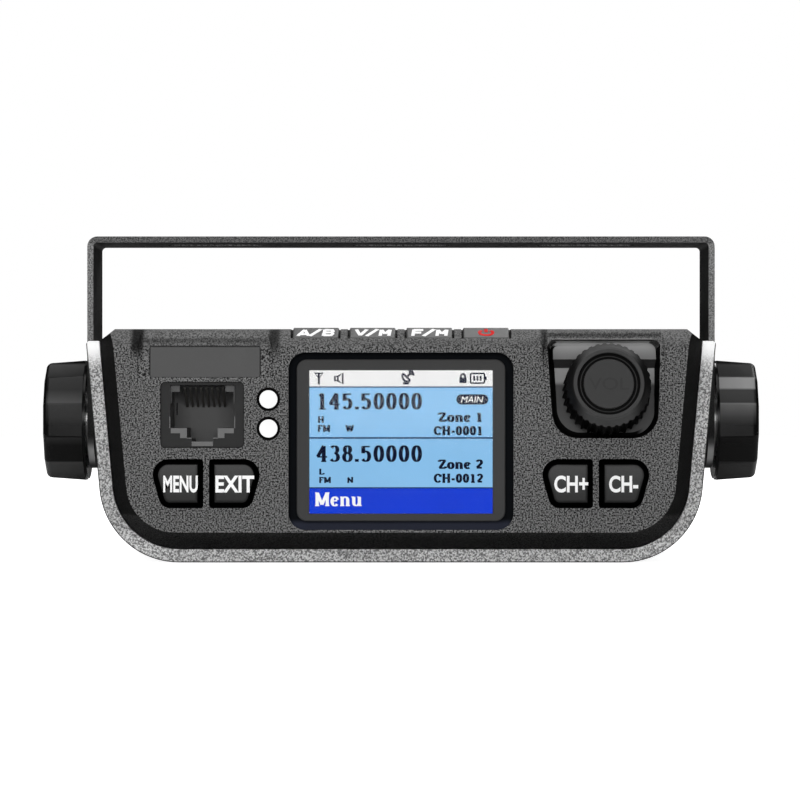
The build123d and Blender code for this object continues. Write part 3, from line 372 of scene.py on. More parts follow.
def chassis_zones(finish, body, shine):
    """The mouth's top ends carry a painted highlight, the lowest few millimetres are painted lighter to lift
    the panel's shade there, and its outer rim is a dark line.
    """
    _, along, height = finish.axes(finish.place)
    # Painted highlight on the top ends of the mouth's front face.
    painted_highlight = finish.math("MULTIPLY", finish.ramp(height, 36 * MM, 41 * MM),
                         finish.ramp(along, -37 * MM, -38.5 * MM))
    # Painted light: lighter towards the bottom, where the panel shades the front face.
    body = finish.scale(body, finish.ramp(height, 7 * MM, 3 * MM, 1.0, 1.42))
    body = finish.mix(painted_highlight, body, (1.15, 1.15, 1.15, 1.0))
    rim = finish.math("MULTIPLY", finish.ramp(trough_edge(finish), -0.24 * MM, -0.13 * MM),
                      finish.ramp(along, -38.8 * MM, -38.9 * MM))
    return finish.mix(rim, body, paint(10)), 0.0, shine


def knob_zones(finish, body, shine):
    """A light front ring, a black groove with one fine line in it, a dark grip, and a bevel with painted
    light in the middle and painted shade at the sides.
    """
    n = finish.facing()
    x, along, height = finish.axes(finish.place)
    dial_x, dial_y, dial_z = DIAL_CENTRE
    ahead = finish.math("ADD", finish.math("MULTIPLY", n[1], -math.cos(DIAL_TILT)),
                        finish.math("MULTIPLY", n[2], math.sin(DIAL_TILT)))
    x = finish.math("SUBTRACT", x, dial_x * MM)
    backwards = finish.math("MULTIPLY", finish.math("ADD", along, -dial_y * MM), math.sin(DIAL_TILT))
    upwards = finish.math("MULTIPLY", finish.math("SUBTRACT", height, dial_z * MM), math.cos(DIAL_TILT))
    radius = finish.diagonal(x, finish.math("ADD", backwards, upwards))
    # Painted light and shade on the bevel, set by the world position across so that it stays put when the
    # knob turns.
    beside = finish.away(finish.world_place()[0], dial_x * MM)
    painted_bevel = finish.mix(finish.ramp(beside, 3.5 * MM, 6.5 * MM), paint(66), paint(12))
    slope = finish.ramp(radius, 6.45 * MM, 6.6 * MM)
    grip = finish.ramp(ahead, 0.4, 0.1)
    line = finish.ramp(finish.away(radius, 5.2 * MM), 0.12 * MM, 0.04 * MM)
    groove = finish.ramp(radius, 5.8 * MM, 5.7 * MM)
    body = finish.mix(slope, body, painted_bevel)
    body = finish.mix(grip, body, paint(5))
    body = finish.mix(groove, body, finish.mix(line, paint(4), paint(52)))
    return body, finish.ramp(finish.math("MAXIMUM", grip, groove), 0.0, 1.0, shine, 0.03)


# Left and right thumb knobs' painted reflections and shade: height above the pivot in millimetres, then the
# grey level of the flat there.
GRIP_PAINTED_LIGHT = {
    -1: ((-11.9, 22), (-10.2, 52), (-8.3, 60), (-8.1, 13), (-5.0, 13), (-3.5, 42), (-3.3, 7),
         (-1.0, 9), (0.6, 36), (3.3, 46), (3.5, 66), (6.0, 24), (8.4, 36), (8.6, 48), (11.0, 74), (11.4, 6)),
    1: ((-11.9, 16), (-10.2, 30), (-8.3, 34), (-8.1, 11), (-5.0, 11), (-3.5, 14), (-3.3, 6),
        (-1.0, 9), (0.6, 50), (3.3, 96), (3.5, 36), (6.0, 46), (6.4, 136), (8.4, 136), (8.6, 48), (11.0, 60),
        (11.4, 6)),
}


def grip_zones(finish, body, shine):
    """Each flat of a thumb knob takes its own painted reflection and shade, by height from the pivot."""
    rise = finish.world_place()[2]
    share = finish.math("MULTIPLY_ADD", rise, 1 / (BAND_SPAN * MM), 0.5 - PIVOT_HEIGHT / BAND_SPAN)
    painted_light_ramps = {}
    for hand, tones in GRIP_PAINTED_LIGHT.items():
        node = finish.add("ShaderNodeValToRGB", {0: share})
        stops = node.color_ramp.elements
        while len(stops) > 1:
            stops.remove(stops[-1])
        for index, (above, level) in enumerate(tones):
            place = above / BAND_SPAN + 0.5
            stop = stops[0] if index == 0 else stops.new(place)
            stop.position = place
            stop.color = paint(level)
        painted_light_ramps[hand] = node.outputs[0]
    x = finish.axes(finish.place)[0]
    shade = finish.mix(finish.ramp(x, -1 * MM, 1 * MM), painted_light_ramps[-1], painted_light_ramps[1])
    beside = finish.ramp(finish.math("ABSOLUTE", finish.facing()[0]), 0.6, 0.4)
    beyond = finish.ramp(finish.math("ABSOLUTE", x), 62.7 * MM, 62.9 * MM)
    return finish.mix(finish.math("MULTIPLY", beside, beyond), body, shade), shine


def plate_zones(finish, body, shine):
    """A fine dark outline of painted shadow round the top and sides of the nameplate."""
    low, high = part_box("nameplate")
    left, right, bottom, top = (value / MM for value in (low.x, high.x, low.z, high.z))
    inner = inside_pane(finish, left + 0.22, right - 0.22, bottom - 1, top - 0.22, 0.08)
    return finish.mix(inner, paint(38), body), shine


def jack_zones(finish, body, shine):
    """Painted light inside the mouth, lighter than on the front, to lift the shade there."""
    depth = finish.axes(finish.place)[1]
    return finish.mix(finish.ramp(depth, -49.5 * MM, -47 * MM), body, paint(98)), shine


def key_finish(name, top, bottom, rim, hidden=None):
    """Satin key with painted shade: darker towards its lower edge, and black where it turns away or lies
    behind the panel.
    """
    finish = Finish(name)
    across = finish.axes(finish.add("ShaderNodeTexCoord").outputs["Generated"])[2]
    fine = finish.noise(0.2 * MM)
    # Painted shade: darker towards the lower edge.
    body = finish.mix(finish.ramp(across, 0.1, 0.95), paint(bottom), paint(top))
    ahead = finish.math("ABSOLUTE", finish.facing()[1])
    # Painted shade: black on the rim that turns away, and behind the panel.
    turned = finish.ramp(ahead, rim, rim - 0.1)
    if hidden is not None:
        behind = finish.ramp(finish.axes(finish.place)[1], (hidden - 0.1) * MM, hidden * MM)
        turned = finish.math("MAXIMUM", turned, behind)
    body = finish.mix(turned, body, paint(4))
    body = finish.scale(body, finish.ramp(fine, 0.3, 0.7, 0.94, 1.06))
    return finish.shade(
        Base_Color=body, Roughness=0.42, Specular_IOR_Level=finish.ramp(turned, 0.0, 1.0, 0.15, 0.0),
        Normal=finish.bump(fine, 0.004 * MM)
    )


def glowing(name, colour):
    """Back-lit screen area: even light crossed by the fine grid of the picture elements."""
    pitch = 0.12 * MM
    finish = Finish(name)
    spot = finish.axes(finish.place)
    grid = [finish.math("FRACT", finish.math("MULTIPLY", spot[axis], 1 / pitch)) for axis in (0, 2)]
    line = finish.math("MINIMUM", *[finish.ramp(value, 0.0, 0.2) for value in grid])
    cloud = finish.noise(5 * MM, 2.0)
    light = finish.scale(colour, finish.ramp(line, 0, 1, 0.93, 1.0))
    light = finish.scale(light, finish.ramp(cloud, 0.3, 0.7, 0.98, 1.02))
    return finish.shade(
        Base_Color=paint(4), Roughness=0.5, Specular_IOR_Level=0.0, Emission_Color=light,
        Emission_Strength=1.0
    )


def clear_lens(name):
    """Thin clear window: see-through with a faint reflection."""
    finish = Finish(name)
    fine = finish.noise(0.5 * MM)
    sheen = finish.add("ShaderNodeBsdfGlossy", {"Roughness": finish.ramp(fine, 0.3, 0.7, 0.04, 0.07)})
    through = finish.add("ShaderNodeBsdfTransparent", {"Color": (0.99, 0.99, 0.99, 1.0)})
    grazing = finish.add("ShaderNodeLayerWeight", {"Blend": 0.5}).outputs["Facing"]
    rim = finish.math("MULTIPLY_ADD", finish.math("POWER", grazing, 5.0), 0.5, 0.006)
    joined = finish.add("ShaderNodeMixShader", {0: rim, 1: through.outputs[0], 2: sheen.outputs[0]})
    return finish.end(joined.outputs[0])


finishes = {
    "panel": grained("panel_grain", 71, 58, 0.3 * MM, zones=panel_zones, depth=0.09 * MM, shine=0.06),
    "silver": grained("cast_silver", 157, 56, 0.29 * MM, 0.5, zones=chassis_zones),
    "cover": grained("cover_coat", 46, 14, 0.3 * MM),
    "bracket": grained("bracket_coat", 116, 36, 0.27 * MM, zones=bracket_zones, shine=0.12),
    "front_key": key_finish("front_key_plastic", 63, 31, 0.85, hidden=-50.4),
    "top_key": key_finish("top_key_plastic", 88, 80, 0.0),
    "gloss": smooth("gloss_black", paint(6), 0.22, shine=0.12, swing=0.05, zones=grip_zones),
    "knob": smooth("knob_rubbery", paint(58), 0.45, zones=knob_zones, shine=0.12),
    "jack": smooth("jack_plastic", paint(50), 0.5, zones=jack_zones, shine=0.05, swing=0.02),
    # Painted light: pale plates for the lit front faces of steps in the jack's mouth.
    "jack_pad": smooth("jack_pad_painted_light", paint(112), 0.5, shine=0.1, swing=0.04),
    "jack_corner": smooth("jack_corner_painted_light", paint(92), 0.5, shine=0.1, swing=0.04),
    "contact": smooth("contact_bronze", paint(74, 73, 71), 0.5, shine=0.03),
    "plate": smooth("nameplate_face", paint(83), 0.5, swing=0.03, shine=0.1, zones=plate_zones),
    "bezel": smooth("bezel_face", paint(62), 0.5, swing=0.03, shine=0.08),
    "cap": smooth("cap_face", paint(59), 0.5, swing=0.03, shine=0.08),
    "debossed": smooth("debossed_shade", paint(55), 0.6, swing=0.03, shine=0.1),
    # Black for the rings in the lamp gaps and the jack's slit, painted as shade.
    "hole": smooth("black_ring", paint(4), 0.6, shine=0.02),
    "lens": clear_lens("lens_clear"),
    "glass": smooth("glass_black", paint(12), 0.1),
    "white": smooth("white_plastic", paint(246), 0.4, swing=0.02),
    "lamp": glowing("lamp_diffuser", paint(255)),
    "board": smooth("solder_mask", paint(18, 74, 40), 0.35),
    "steel": smooth("zinc_steel", paint(176), 0.3, 1.0),
    "tin": smooth("tinned_steel", paint(200), 0.28, 1.0),
    "gold": smooth("gold_plate", paint(214, 176, 92), 0.25, 1.0),
    "rubber": smooth("black_rubber", paint(24), 0.8),
    "black": smooth("black_plastic", paint(30), 0.5),
    "film": smooth("flex_film", paint(168, 104, 30), 0.3),
    "paper": smooth("cone_paper", paint(40), 0.9),
    "label": smooth("label_white", paint(255), 0.5, swing=0.01),
    "red": smooth("label_red", paint(206, 22, 22), 0.5, swing=0.02, shine=0.05),
}

FINISH_OF_NODE = {
    "panel": ("front_panel",),
    "silver": ("chassis",),
    "cover": ("top_cover",),
    "bracket": ("bracket",),
    "gloss": ("left_knob", "right_knob"),
    "knob": ("volume_knob",),
    "cap": ("volume_knob_cap",),
    "jack": ("mic_jack",),
    "plate": ("nameplate",),
    "bezel": ("display_bezel",),
    "lens": ("display_lens",),
    "glass": ("lcd_panel",),
    "lamp": ("upper_light_pipe", "lower_light_pipe"),
    "white": ("lcd_backlight", "status_leds", "antenna_insulator", "board_connectors"),
    "board": ("front_board", "main_board", "encoder_board"),
    "gold": ("antenna_contact", "power_socket_pins"),
    "contact": ("mic_jack_contacts",),
    "tin": ("antenna_socket", "encoder_nut", "volume_encoder", "receiver_shield", "synthesizer_shield"),
    "steel": (
        "encoder_shaft", "left_knob_stud", "right_knob_stud", "left_knob_washer", "right_knob_washer",
        "main_board_screws", "front_board_screws", "power_amplifier_screws", "antenna_socket_screws",
        "speaker_frame",
    ),
    "rubber": ("rubber_washers",),
    "film": ("ribbon_cable",),
    "paper": ("speaker_cone",),
    "front_key": ("menu_button", "exit_button", "channel_up_button", "channel_down_button"),
    "top_key": ("band_button", "mode_button", "function_button", "power_button"),
}


def dress_nodes():
    """Gives every CAD node its finish; nodes not named above are plain black parts."""
    chosen = {node: kind for kind, nodes in FINISH_OF_NODE.items() for node in nodes}
    for name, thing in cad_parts.items():
        thing.data.materials.clear()
        thing.data.materials.append(finishes[chosen.get(name, "black")])


# ---------------------------------------------------------------- making pieces
def plane_at(origin, across=(1, 0, 0), up=(0, 0, 1)):
    """Matrix from a drawing plane (x across, y up, z out of the surface) to the row frame."""
    x, y = Vector(across).normalized(), Vector(up).normalized()
    z = x.cross(y)
    return Matrix.Translation(origin) @ Matrix((x, y, z)).transposed().to_4x4()


def piece(name, shape, plane, finish, body):
    """A new object from a bmesh drawn on a plane, riding on a body."""
    mesh = bpy.data.meshes.new(name)
    shape.to_mesh(mesh)
    shape.free()
    return settle(name, mesh, plane, finish, body)


def settle(name, mesh, plane, finish, body):
    """Makes an object of a mesh drawn on a plane, with its finish, body and material slot."""
    mesh.transform(plane)
    mesh.materials.clear()
    mesh.materials.append(finishes[finish])
    thing = bpy.data.objects.new(name, mesh)
    bpy.context.scene.collection.objects.link(thing)
    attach(thing, body)
    return thing


def slab(shape, outline, back, front_height):
    """A closed flat prism over an outline of (x, y) points."""
    low = [shape.verts.new((x, y, back)) for x, y in outline]
    high = [shape.verts.new((x, y, front_height)) for x, y in outline]
    shape.faces.new(reversed(low))
    shape.faces.new(high)
    for i, corner in enumerate(low):
        after = (i + 1) % len(low)
        shape.faces.new((corner, low[after], high[after], high[i]))


def arc(x, y, rx, ry, start, end):
    """Points along part of an ellipse; angles in degrees."""
    steps = max(2, round(abs(end - start) / 15))
    turns = [math.radians(start + (end - start) * i / steps) for i in range(steps + 1)]
    return [(x + rx * math.cos(t), y + ry * math.sin(t)) for t in turns]


def rounded(left, bottom, right, top, radius):
    """Outline of a rectangle with round corners."""
    corners = ((right, top, 0), (left, top, 90), (left, bottom, 180), (right, bottom, 270))
    points = []
    for x, y, start in corners:
        inward_x = -radius if x == right else radius
        inward_y = -radius if y == top else radius
        points += arc(x + inward_x, y + inward_y, radius, radius, start, start + 90)
    return points


def ring(shape, inner, outer, back, ahead):
    """A closed flat ring about the plane's origin."""
    edges = []
    for radius, height in ((inner, back), (outer, back), (outer, ahead), (inner, ahead)):
        edges.append([shape.verts.new((x, y, height)) for x, y in arc(0, 0, radius, radius, 0, 345)])
    for here, there in zip(edges, edges[1:] + edges[:1]):
        for i, corner in enumerate(here):
            shape.faces.new((corner, here[i - 1], there[i - 1], there[i]))


def box_on(shape, left, bottom, right, top):
    """A thin plate between four edges in millimetres, standing 0.05 mm proud of the plane."""
    left, right = sorted((left, right))
    corners = ((left, bottom), (right, bottom), (right, top), (left, top))
    slab(shape, [(x * MM, y * MM) for x, y in corners], -0.1 * MM, 0.05 * MM)


def stroke(shape, points, wide, thin, back, ahead):
    """A closed flat stroke, drawn with a pen wide across and thin up and down."""
    closed = math.dist(points[0], points[-1]) < 1e-9
    if closed:
        points = points[:-1]
    count = len(points)
    sections = []
    for i, (x, y) in enumerate(points):
        before = points[i - 1] if i or closed else points[i]
        after = points[(i + 1) % count] if i < count - 1 or closed else points[i]
        along = Vector((after[0] - before[0], after[1] - before[1])).normalized()
        half = math.hypot(wide * along.y, thin * along.x)
        dx, dy = -along.y * half, along.x * half
        sections.append([
            shape.verts.new((x + side * dx, y + side * dy, z))
            for side, z in ((1, back), (-1, back), (-1, ahead), (1, ahead))
        ])
    joins = zip(sections, sections[1:] + sections[:1]) if closed else zip(sections, sections[1:])
    for here, there in joins:
        for i in range(4):
            shape.faces.new((here[i], here[i - 1], there[i - 1], there[i]))
    if not closed:
        shape.faces.new(sections[0])
        shape.faces.new(reversed(sections[-1]))


# ---------------------------------------------------------------- serif characters
def serif(x, y, half=0.15):
    """A short level bar across the end of an upright."""
    return [(x - half, y), (x + half, y)]


def stem(x):
    """An upright with a serif at each end."""
    return [[(x, 0.0), (x, 0.97)], serif(x, 0.03), serif(x, 0.97)]


# Each character: its width, then its strokes, with capitals one unit tall.
SERIF_GLYPHS = {
    "0": (0.74, [arc(0.37, 0.5, 0.2, 0.46, 0, 360)]),
    "1": (0.74, [[(0.37, 0.0), (0.37, 0.97)], serif(0.37, 0.03, 0.2), [(0.18, 0.84), (0.37, 0.95)]]),
    "2": (0.74, [arc(0.36, 0.71, 0.2, 0.25, 165, -35) + [(0.14, 0.08)], [(0.12, 0.07), (0.6, 0.07)],
                 [(0.13, 0.11), (0.58, 0.11)]]),
    "3": (0.74, [arc(0.34, 0.74, 0.18, 0.22, 150, -90), arc(0.34, 0.28, 0.22, 0.24, 90, -150)]),
    "4": (0.74, [[(0.46, 0.97), (0.1, 0.3)], [(0.08, 0.3), (0.66, 0.3)], [(0.46, 0.0), (0.46, 0.97)],
                 serif(0.46, 0.03)]),
    "5": (0.74, [[(0.18, 0.93), (0.58, 0.93)], [(0.2, 0.96), (0.2, 0.52)],
                 arc(0.34, 0.34, 0.21, 0.3, 125, -145)]),
    "8": (0.74, [arc(0.37, 0.75, 0.16, 0.21, 0, 360), arc(0.37, 0.28, 0.2, 0.25, 0, 360)]),
    ".": (0.36, [[(0.18, 0.0), (0.18, 0.17)]]),
    "-": (0.5, [[(0.08, 0.34), (0.42, 0.34)], [(0.08, 0.4), (0.42, 0.4)]]),
    " ": (0.4, []),
    "C": (0.86, [arc(0.46, 0.5, 0.31, 0.46, 40, 320), [(0.72, 0.66), (0.72, 0.95)]]),
    "F": (0.76, stem(0.2) + [[(0.2, 0.96), (0.68, 0.96)], [(0.2, 0.52), (0.54, 0.52)],
                             [(0.66, 0.78), (0.66, 0.97)]]),
    "H": (0.96, stem(0.22) + stem(0.74) + [[(0.22, 0.52), (0.74, 0.52)]]),
    "L": (0.76, stem(0.2) + [[(0.2, 0.04), (0.68, 0.04)], [(0.67, 0.03), (0.67, 0.24)]]),
    "M": (1.12, stem(0.92) + [[(0.2, 0.0), (0.2, 0.97)], serif(0.2, 0.03), [(0.06, 0.97), (0.24, 0.97)],
                              [(0.22, 0.97), (0.54, 0.1)], [(0.54, 0.1), (0.9, 0.97)]]),
    "N": (0.96, [[(0.2, 0.0), (0.2, 0.97)], serif(0.2, 0.03), [(0.16, 0.97), (0.78, 0.03)],
                 [(0.78, 0.0), (0.78, 0.97)], serif(0.78, 0.97)]),
    "W": (1.2, [[(0.14, 0.97), (0.38, 0.03)], [(0.38, 0.03), (0.6, 0.97)], [(0.6, 0.97), (0.84, 0.03)],
                [(0.84, 0.03), (1.06, 0.97)], serif(0.14, 0.97), serif(1.06, 0.97)]),
    "Z": (0.82, [[(0.12, 0.95), (0.7, 0.95)], [(0.66, 0.97), (0.16, 0.03)], [(0.12, 0.05), (0.7, 0.05)],
                 [(0.14, 0.78), (0.14, 0.97)], [(0.69, 0.03), (0.69, 0.24)]]),
    "e": (0.66, [arc(0.34, 0.34, 0.2, 0.32, 20, 320), [(0.14, 0.38), (0.5, 0.38)]]),
    "n": (0.82, [[(0.2, 0.0), (0.2, 0.66)], serif(0.2, 0.03), [(0.06, 0.66), (0.22, 0.66)],
                 arc(0.4, 0.44, 0.19, 0.22, 130, 0) + [(0.59, 0.0)], serif(0.6, 0.03)]),
    "o": (0.72, [arc(0.36, 0.34, 0.21, 0.32, 0, 360)]),
    "u": (0.82, [[(0.04, 0.66), (0.22, 0.66)],
                 [(0.2, 0.68), (0.2, 0.24)] + arc(0.38, 0.24, 0.18, 0.21, 180, 330),
                 [(0.6, 0.0), (0.6, 0.68)], [(0.44, 0.66), (0.6, 0.66)], [(0.6, 0.03), (0.76, 0.03)]]),
}


def serif_line(shape, text, left, base, height, width, back, ahead, bold=0.0):
    """Writes text in the serif characters, stretched to a height and a width."""
    natural = sum(SERIF_GLYPHS[letter][0] for letter in text)
    squeeze = width / natural
    pen = left
    for letter in text:
        advance, strokes = SERIF_GLYPHS[letter]
        for points in strokes:
            path = [(pen + x * squeeze, base + y * height) for x, y in points]
            stroke(shape, path, (0.115 + 0.6 * bold) * squeeze, (0.045 + bold) * height, back, ahead)
        pen += advance * squeeze


# ---------------------------------------------------------------- the display picture
def display_picture():
    """Status bar, two channel bands and a menu bar on the face of the liquid-crystal cell."""
    low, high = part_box("display_lens")
    width, height = high.x - low.x, high.z - low.z
    face_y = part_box("lcd_panel")[0].y
    plane = plane_at((low.x, face_y, low.z))
    backing_top, paper, ink = 0.01 * MM, 0.03 * MM, 0.06 * MM
    bands = (
        ("status_bar", "screen_white", paint(236), 23.75 * MM, height),
        ("upper_band", "screen_blue", paint(137, 192, 235), 14.25 * MM, 23.5 * MM),
        ("lower_band", "screen_blue", paint(137, 192, 235), 4.9 * MM, 13.95 * MM),
        ("menu_bar", "screen_menu", paint(20, 61, 211), 0.0, 4.65 * MM),
    )
    finishes["screen_line"] = glowing("screen_line", paint(20, 52, 98))
    finishes["screen_ink"] = glowing("screen_ink", paint(10, 16, 40))
    finishes["screen_light"] = glowing("screen_light", paint(250))
    backing = bmesh.new()
    slab(backing, [(0, 0), (width, 0), (width, height), (0, height)], 0.0, backing_top)
    piece("screen_backing", backing, plane, "screen_line", RADIO)
    for name, finish, colour, bottom, top in bands:
        if finish not in finishes:
            finishes[finish] = glowing(finish, colour)
        band = bmesh.new()
        slab(band, [(0, bottom), (width, bottom), (width, top), (0, top)], backing_top, paper)
        piece(name, band, plane, finish, RADIO)
    writing(plane, paper, ink)
    icons(plane, paper, ink)


def writing(plane, paper, ink):
    """Both channels' numbers and labels, and the word on the menu bar."""
    lines = (
        ("145.50000", 1.2, 19.45, 3.05, 20.0),
        ("438.50000", 1.2, 9.65, 3.05, 20.0),
        ("H", 1.5, 17.0, 1.1, 1.25),
        ("FM", 1.5, 15.3, 1.15, 2.4),
        ("W", 6.7, 15.3, 1.15, 1.6),
        ("L", 1.75, 7.3, 1.0, 1.0),
        ("FM", 1.75, 5.75, 1.0, 2.3),
        ("N", 7.0, 5.75, 1.0, 1.2),
        ("Zone 1", 24.0, 17.2, 1.6, 8.5),
        ("CH-0001", 23.2, 14.7, 1.55, 9.3),
        ("Zone 2", 24.0, 8.4, 1.6, 8.5),
        ("CH-0012", 23.2, 5.8, 1.55, 9.3),
    )
    shape = bmesh.new()
    for text, left, base, height, width in lines:
        bold = 0.0 if height > 2 else 0.05
        serif_line(shape, text, left * MM, base * MM, height * MM, width * MM, paper, ink, bold)
    piece("screen_text", shape, plane, "screen_ink", RADIO)
    word = bmesh.new()
    serif_line(word, "Menu", 0.9 * MM, 1.4 * MM, 2.5 * MM, 9.0 * MM, paper, ink)
    piece("screen_menu_word", word, plane, "screen_light", RADIO)
    pill = bmesh.new()
    slab(pill, rounded(27.45 * MM, 20.35 * MM, 33.4 * MM, 22.25 * MM, 0.94 * MM), paper, ink)
    piece("screen_badge", pill, plane, "screen_ink", RADIO)
    plain_text("screen_badge_word", "MAIN", (30.4, 21.3), (4.2, 1.15), plane, ink, "screen_light", RADIO,
               slant=0.22)


def icons(plane, paper, ink):
    """Antenna, loudspeaker, dish, padlock and battery on the status bar."""
    shape = bmesh.new()
    nib = 0.19 * MM

    def draw(*paths, pen=nib):
        for path in paths:
            stroke(shape, [(x * MM, y * MM) for x, y in path], pen, pen, paper, ink)

    draw([(1.0, 26.2), (2.5, 26.2), (1.75, 25.3), (1.0, 26.2)], [(1.75, 26.2), (1.75, 24.1)])
    draw([(4.75, 24.8), (4.75, 25.6), (5.3, 25.6), (5.3, 24.8), (4.75, 24.8)],
         [(5.3, 25.6), (6.2, 26.2), (6.2, 24.2), (5.3, 24.8)])
    draw(arc(18.35, 25.65, 1.0, 1.0, 150, 300),
         [(17.5, 26.15), (18.85, 24.8)], [(18.2, 25.5), (18.75, 26.05)],
         [(17.75, 24.35), (18.0, 24.9)], [(17.45, 24.3), (18.6, 24.3)],
         arc(18.6, 25.9, 0.45, 0.45, -10, 100), arc(18.6, 25.9, 0.85, 0.85, -10, 100))
    slab(shape, [(x * MM, y * MM) for x, y in rounded(28.0, 24.35, 29.35, 25.35, 0.15)], paper, ink)
    draw([(28.3, 25.3)] + arc(28.68, 25.6, 0.38, 0.45, 180, 0) + [(29.05, 25.3)])
    outline = rounded(30.1, 24.35, 32.7, 26.15, 0.25)
    draw(outline + outline[:1], pen=0.15 * MM)
    for left in (30.6, 31.2, 31.8):
        slab(shape, [(x * MM, y * MM) for x, y in rounded(left, 24.8, left + 0.38, 25.7, 0.05)], paper, ink)
    slab(shape, [(x * MM, y * MM) for x, y in rounded(32.8, 24.9, 33.1, 25.6, 0.1)], paper, ink)
    piece("screen_icons", shape, plane, "screen_ink", RADIO)


# ---------------------------------------------------------------- plain lettering
def plain_text(name, text, centre, size, plane, lift, finish, body, bold=0.0, slant=0.0):
    """Sans-serif text of a given width and height in millimetres, centred on a point of the plane."""
    depth = 0.03 * MM
    curve = bpy.data.curves.new(name, "FONT")
    curve.body = text
    curve.offset = bold
    curve.shear = slant
    curve.extrude = 0.5
    holder = bpy.data.objects.new(name, curve)
    bpy.context.scene.collection.objects.link(holder)
    bpy.context.view_layer.update()
    mesh = bpy.data.meshes.new_from_object(holder.evaluated_get(bpy.context.evaluated_depsgraph_get()))
    bpy.data.objects.remove(holder)
    xs = [v.co.x for v in mesh.vertices]
    ys = [v.co.y for v in mesh.vertices]
    middle = Vector(((min(xs) + max(xs)) / 2, (min(ys) + max(ys)) / 2, -0.5))
    sizes = (size[0] * MM / (max(xs) - min(xs)), size[1] * MM / (max(ys) - min(ys)), depth, 1.0)
    spot = Matrix.Translation((centre[0] * MM, centre[1] * MM, lift))
    mesh.transform(spot @ Matrix.Diagonal(sizes) @ Matrix.Translation(-middle))
    return settle(name, mesh, plane, finish, body)


def key_legends():
    """White words on the four front keys."""
    middle_height, letter_height, bold = 15.05, 3.15, 0.03
    legends = (
        ("menu_button", "MENU", -41.0, 6.4),
        ("exit_button", "EXIT", -30.9, 7.2),
        ("channel_up_button", "CH+", 31.65, 6.3),
        ("channel_down_button", "CH-", 41.4, 5.4),
    )
    for body, text, x, width in legends:
        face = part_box(body)[0].y
        plane = plane_at((0, face, 0))
        plain_text(f"{body}_legend", text, (x, middle_height), (width, letter_height), plane, 0.0, "label",
                   body, bold)


# Block characters for the top keys, one unit wide and one tall.
BLOCK_GLYPHS = {
    "A": [[(0.0, 0.0), (0.5, 0.95)], [(0.5, 0.95), (1.0, 0.0)], [(0.2, 0.26), (0.8, 0.26)]],
    "B": [[(0.1, 0.0), (0.1, 1.0)], [(0.1, 0.92), (0.8, 0.92), (0.92, 0.72), (0.8, 0.53), (0.1, 0.53)],
          [(0.8, 0.53), (0.95, 0.3), (0.8, 0.08), (0.1, 0.08)]],
    "F": [[(0.1, 0.0), (0.1, 1.0)], [(0.1, 0.92), (1.0, 0.92)], [(0.1, 0.5), (0.85, 0.5)]],
    "M": [[(0.08, 0.0), (0.08, 0.95)], [(0.08, 0.95), (0.5, 0.3)], [(0.5, 0.3), (0.92, 0.95)],
          [(0.92, 0.95), (0.92, 0.0)]],
    "V": [[(0.0, 1.0), (0.5, 0.05)], [(0.5, 0.05), (1.0, 1.0)]],
    "/": [[(0.0, -0.05), (0.9, 1.05)]],
}


def top_key_legends():
    """White legends and a red power sign on the sloping faces of the top keys."""
    lift = 0.04 * MM
    for body, text in (("band_button", "A/B"), ("mode_button", "V/M"), ("function_button", "F/M")):
        shape = bmesh.new()
        for letter, left in zip(text, (-3.3, -1.1, 1.25)):
            for i, points in enumerate(BLOCK_GLYPHS[letter]):
                path = [((left + 1.95 * x + 0.25 * y) * MM, (3.6 * y - 1.85) * MM) for x, y in points]
                stroke(shape, path, 0.32 * MM, 0.55 * MM, 0.0, lift * (1 + 0.1 * i))
        piece(f"{body}_legend", shape, top_key_plane(body), "label", body)
    sign = bmesh.new()
    gap = 42
    loop = arc(0, 0, 1.25 * MM, 1.5 * MM, 90 + gap, 450 - gap)
    stroke(sign, loop, 0.3 * MM, 0.5 * MM, 0.0, lift)
    stroke(sign, [(0, 0.2 * MM), (0, 2.1 * MM)], 0.34 * MM, 0.3 * MM, 0.0, lift)
    piece("power_sign", sign, top_key_plane("power_button"), "red", "power_button")


def top_key_plane(body):
    """The sloping face of a top key, with its origin at the face's middle."""
    low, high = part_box(body)
    front_edge = Vector((0, -49.9 * MM, 42.35 * MM))
    back_edge = Vector((0, -44.6 * MM, 44.3 * MM))
    middle = (front_edge + back_edge) / 2
    middle.x = (low.x + high.x) / 2
    return plane_at(middle, up=back_edge - front_edge)


# ---------------------------------------------------------------- floor, light and camera
def lay_floor():
    """Pale paper under the radio; for the camera it brightens into the white backdrop further out."""
    shape = bmesh.new()
    bmesh.ops.create_grid(shape, x_segments=4, y_segments=4, size=8.0)
    mesh = bpy.data.meshes.new("floor")
    shape.to_mesh(mesh)
    shape.free()
    finish = Finish("floor_paper")
    fine = finish.noise(2 * MM)
    body = finish.scale(paint(215), finish.ramp(fine, 0.2, 0.8, 0.99, 1.01))
    paper = finish.add("ShaderNodeBsdfDiffuse", {"Color": body}).outputs[0]
    spot = finish.axes(finish.place)
    strength = finish.ramp(finish.diagonal(spot[0], spot[1]), 0.06, 0.13, 0.93, 1.2)
    glow = finish.add("ShaderNodeEmission", {"Color": paint(255), "Strength": strength}).outputs[0]
    both = finish.add("ShaderNodeAddShader", {0: paper, 1: glow}).outputs[0]
    seen = finish.add("ShaderNodeLightPath").outputs["Is Camera Ray"]
    shown = finish.add("ShaderNodeMixShader", {0: seen, 1: paper, 2: both}).outputs[0]
    mesh.materials.append(finish.end(shown))
    ground = bpy.data.objects.new("floor", mesh)
    bpy.context.scene.collection.objects.link(ground)
    ground.location.z = cad_box[0].z


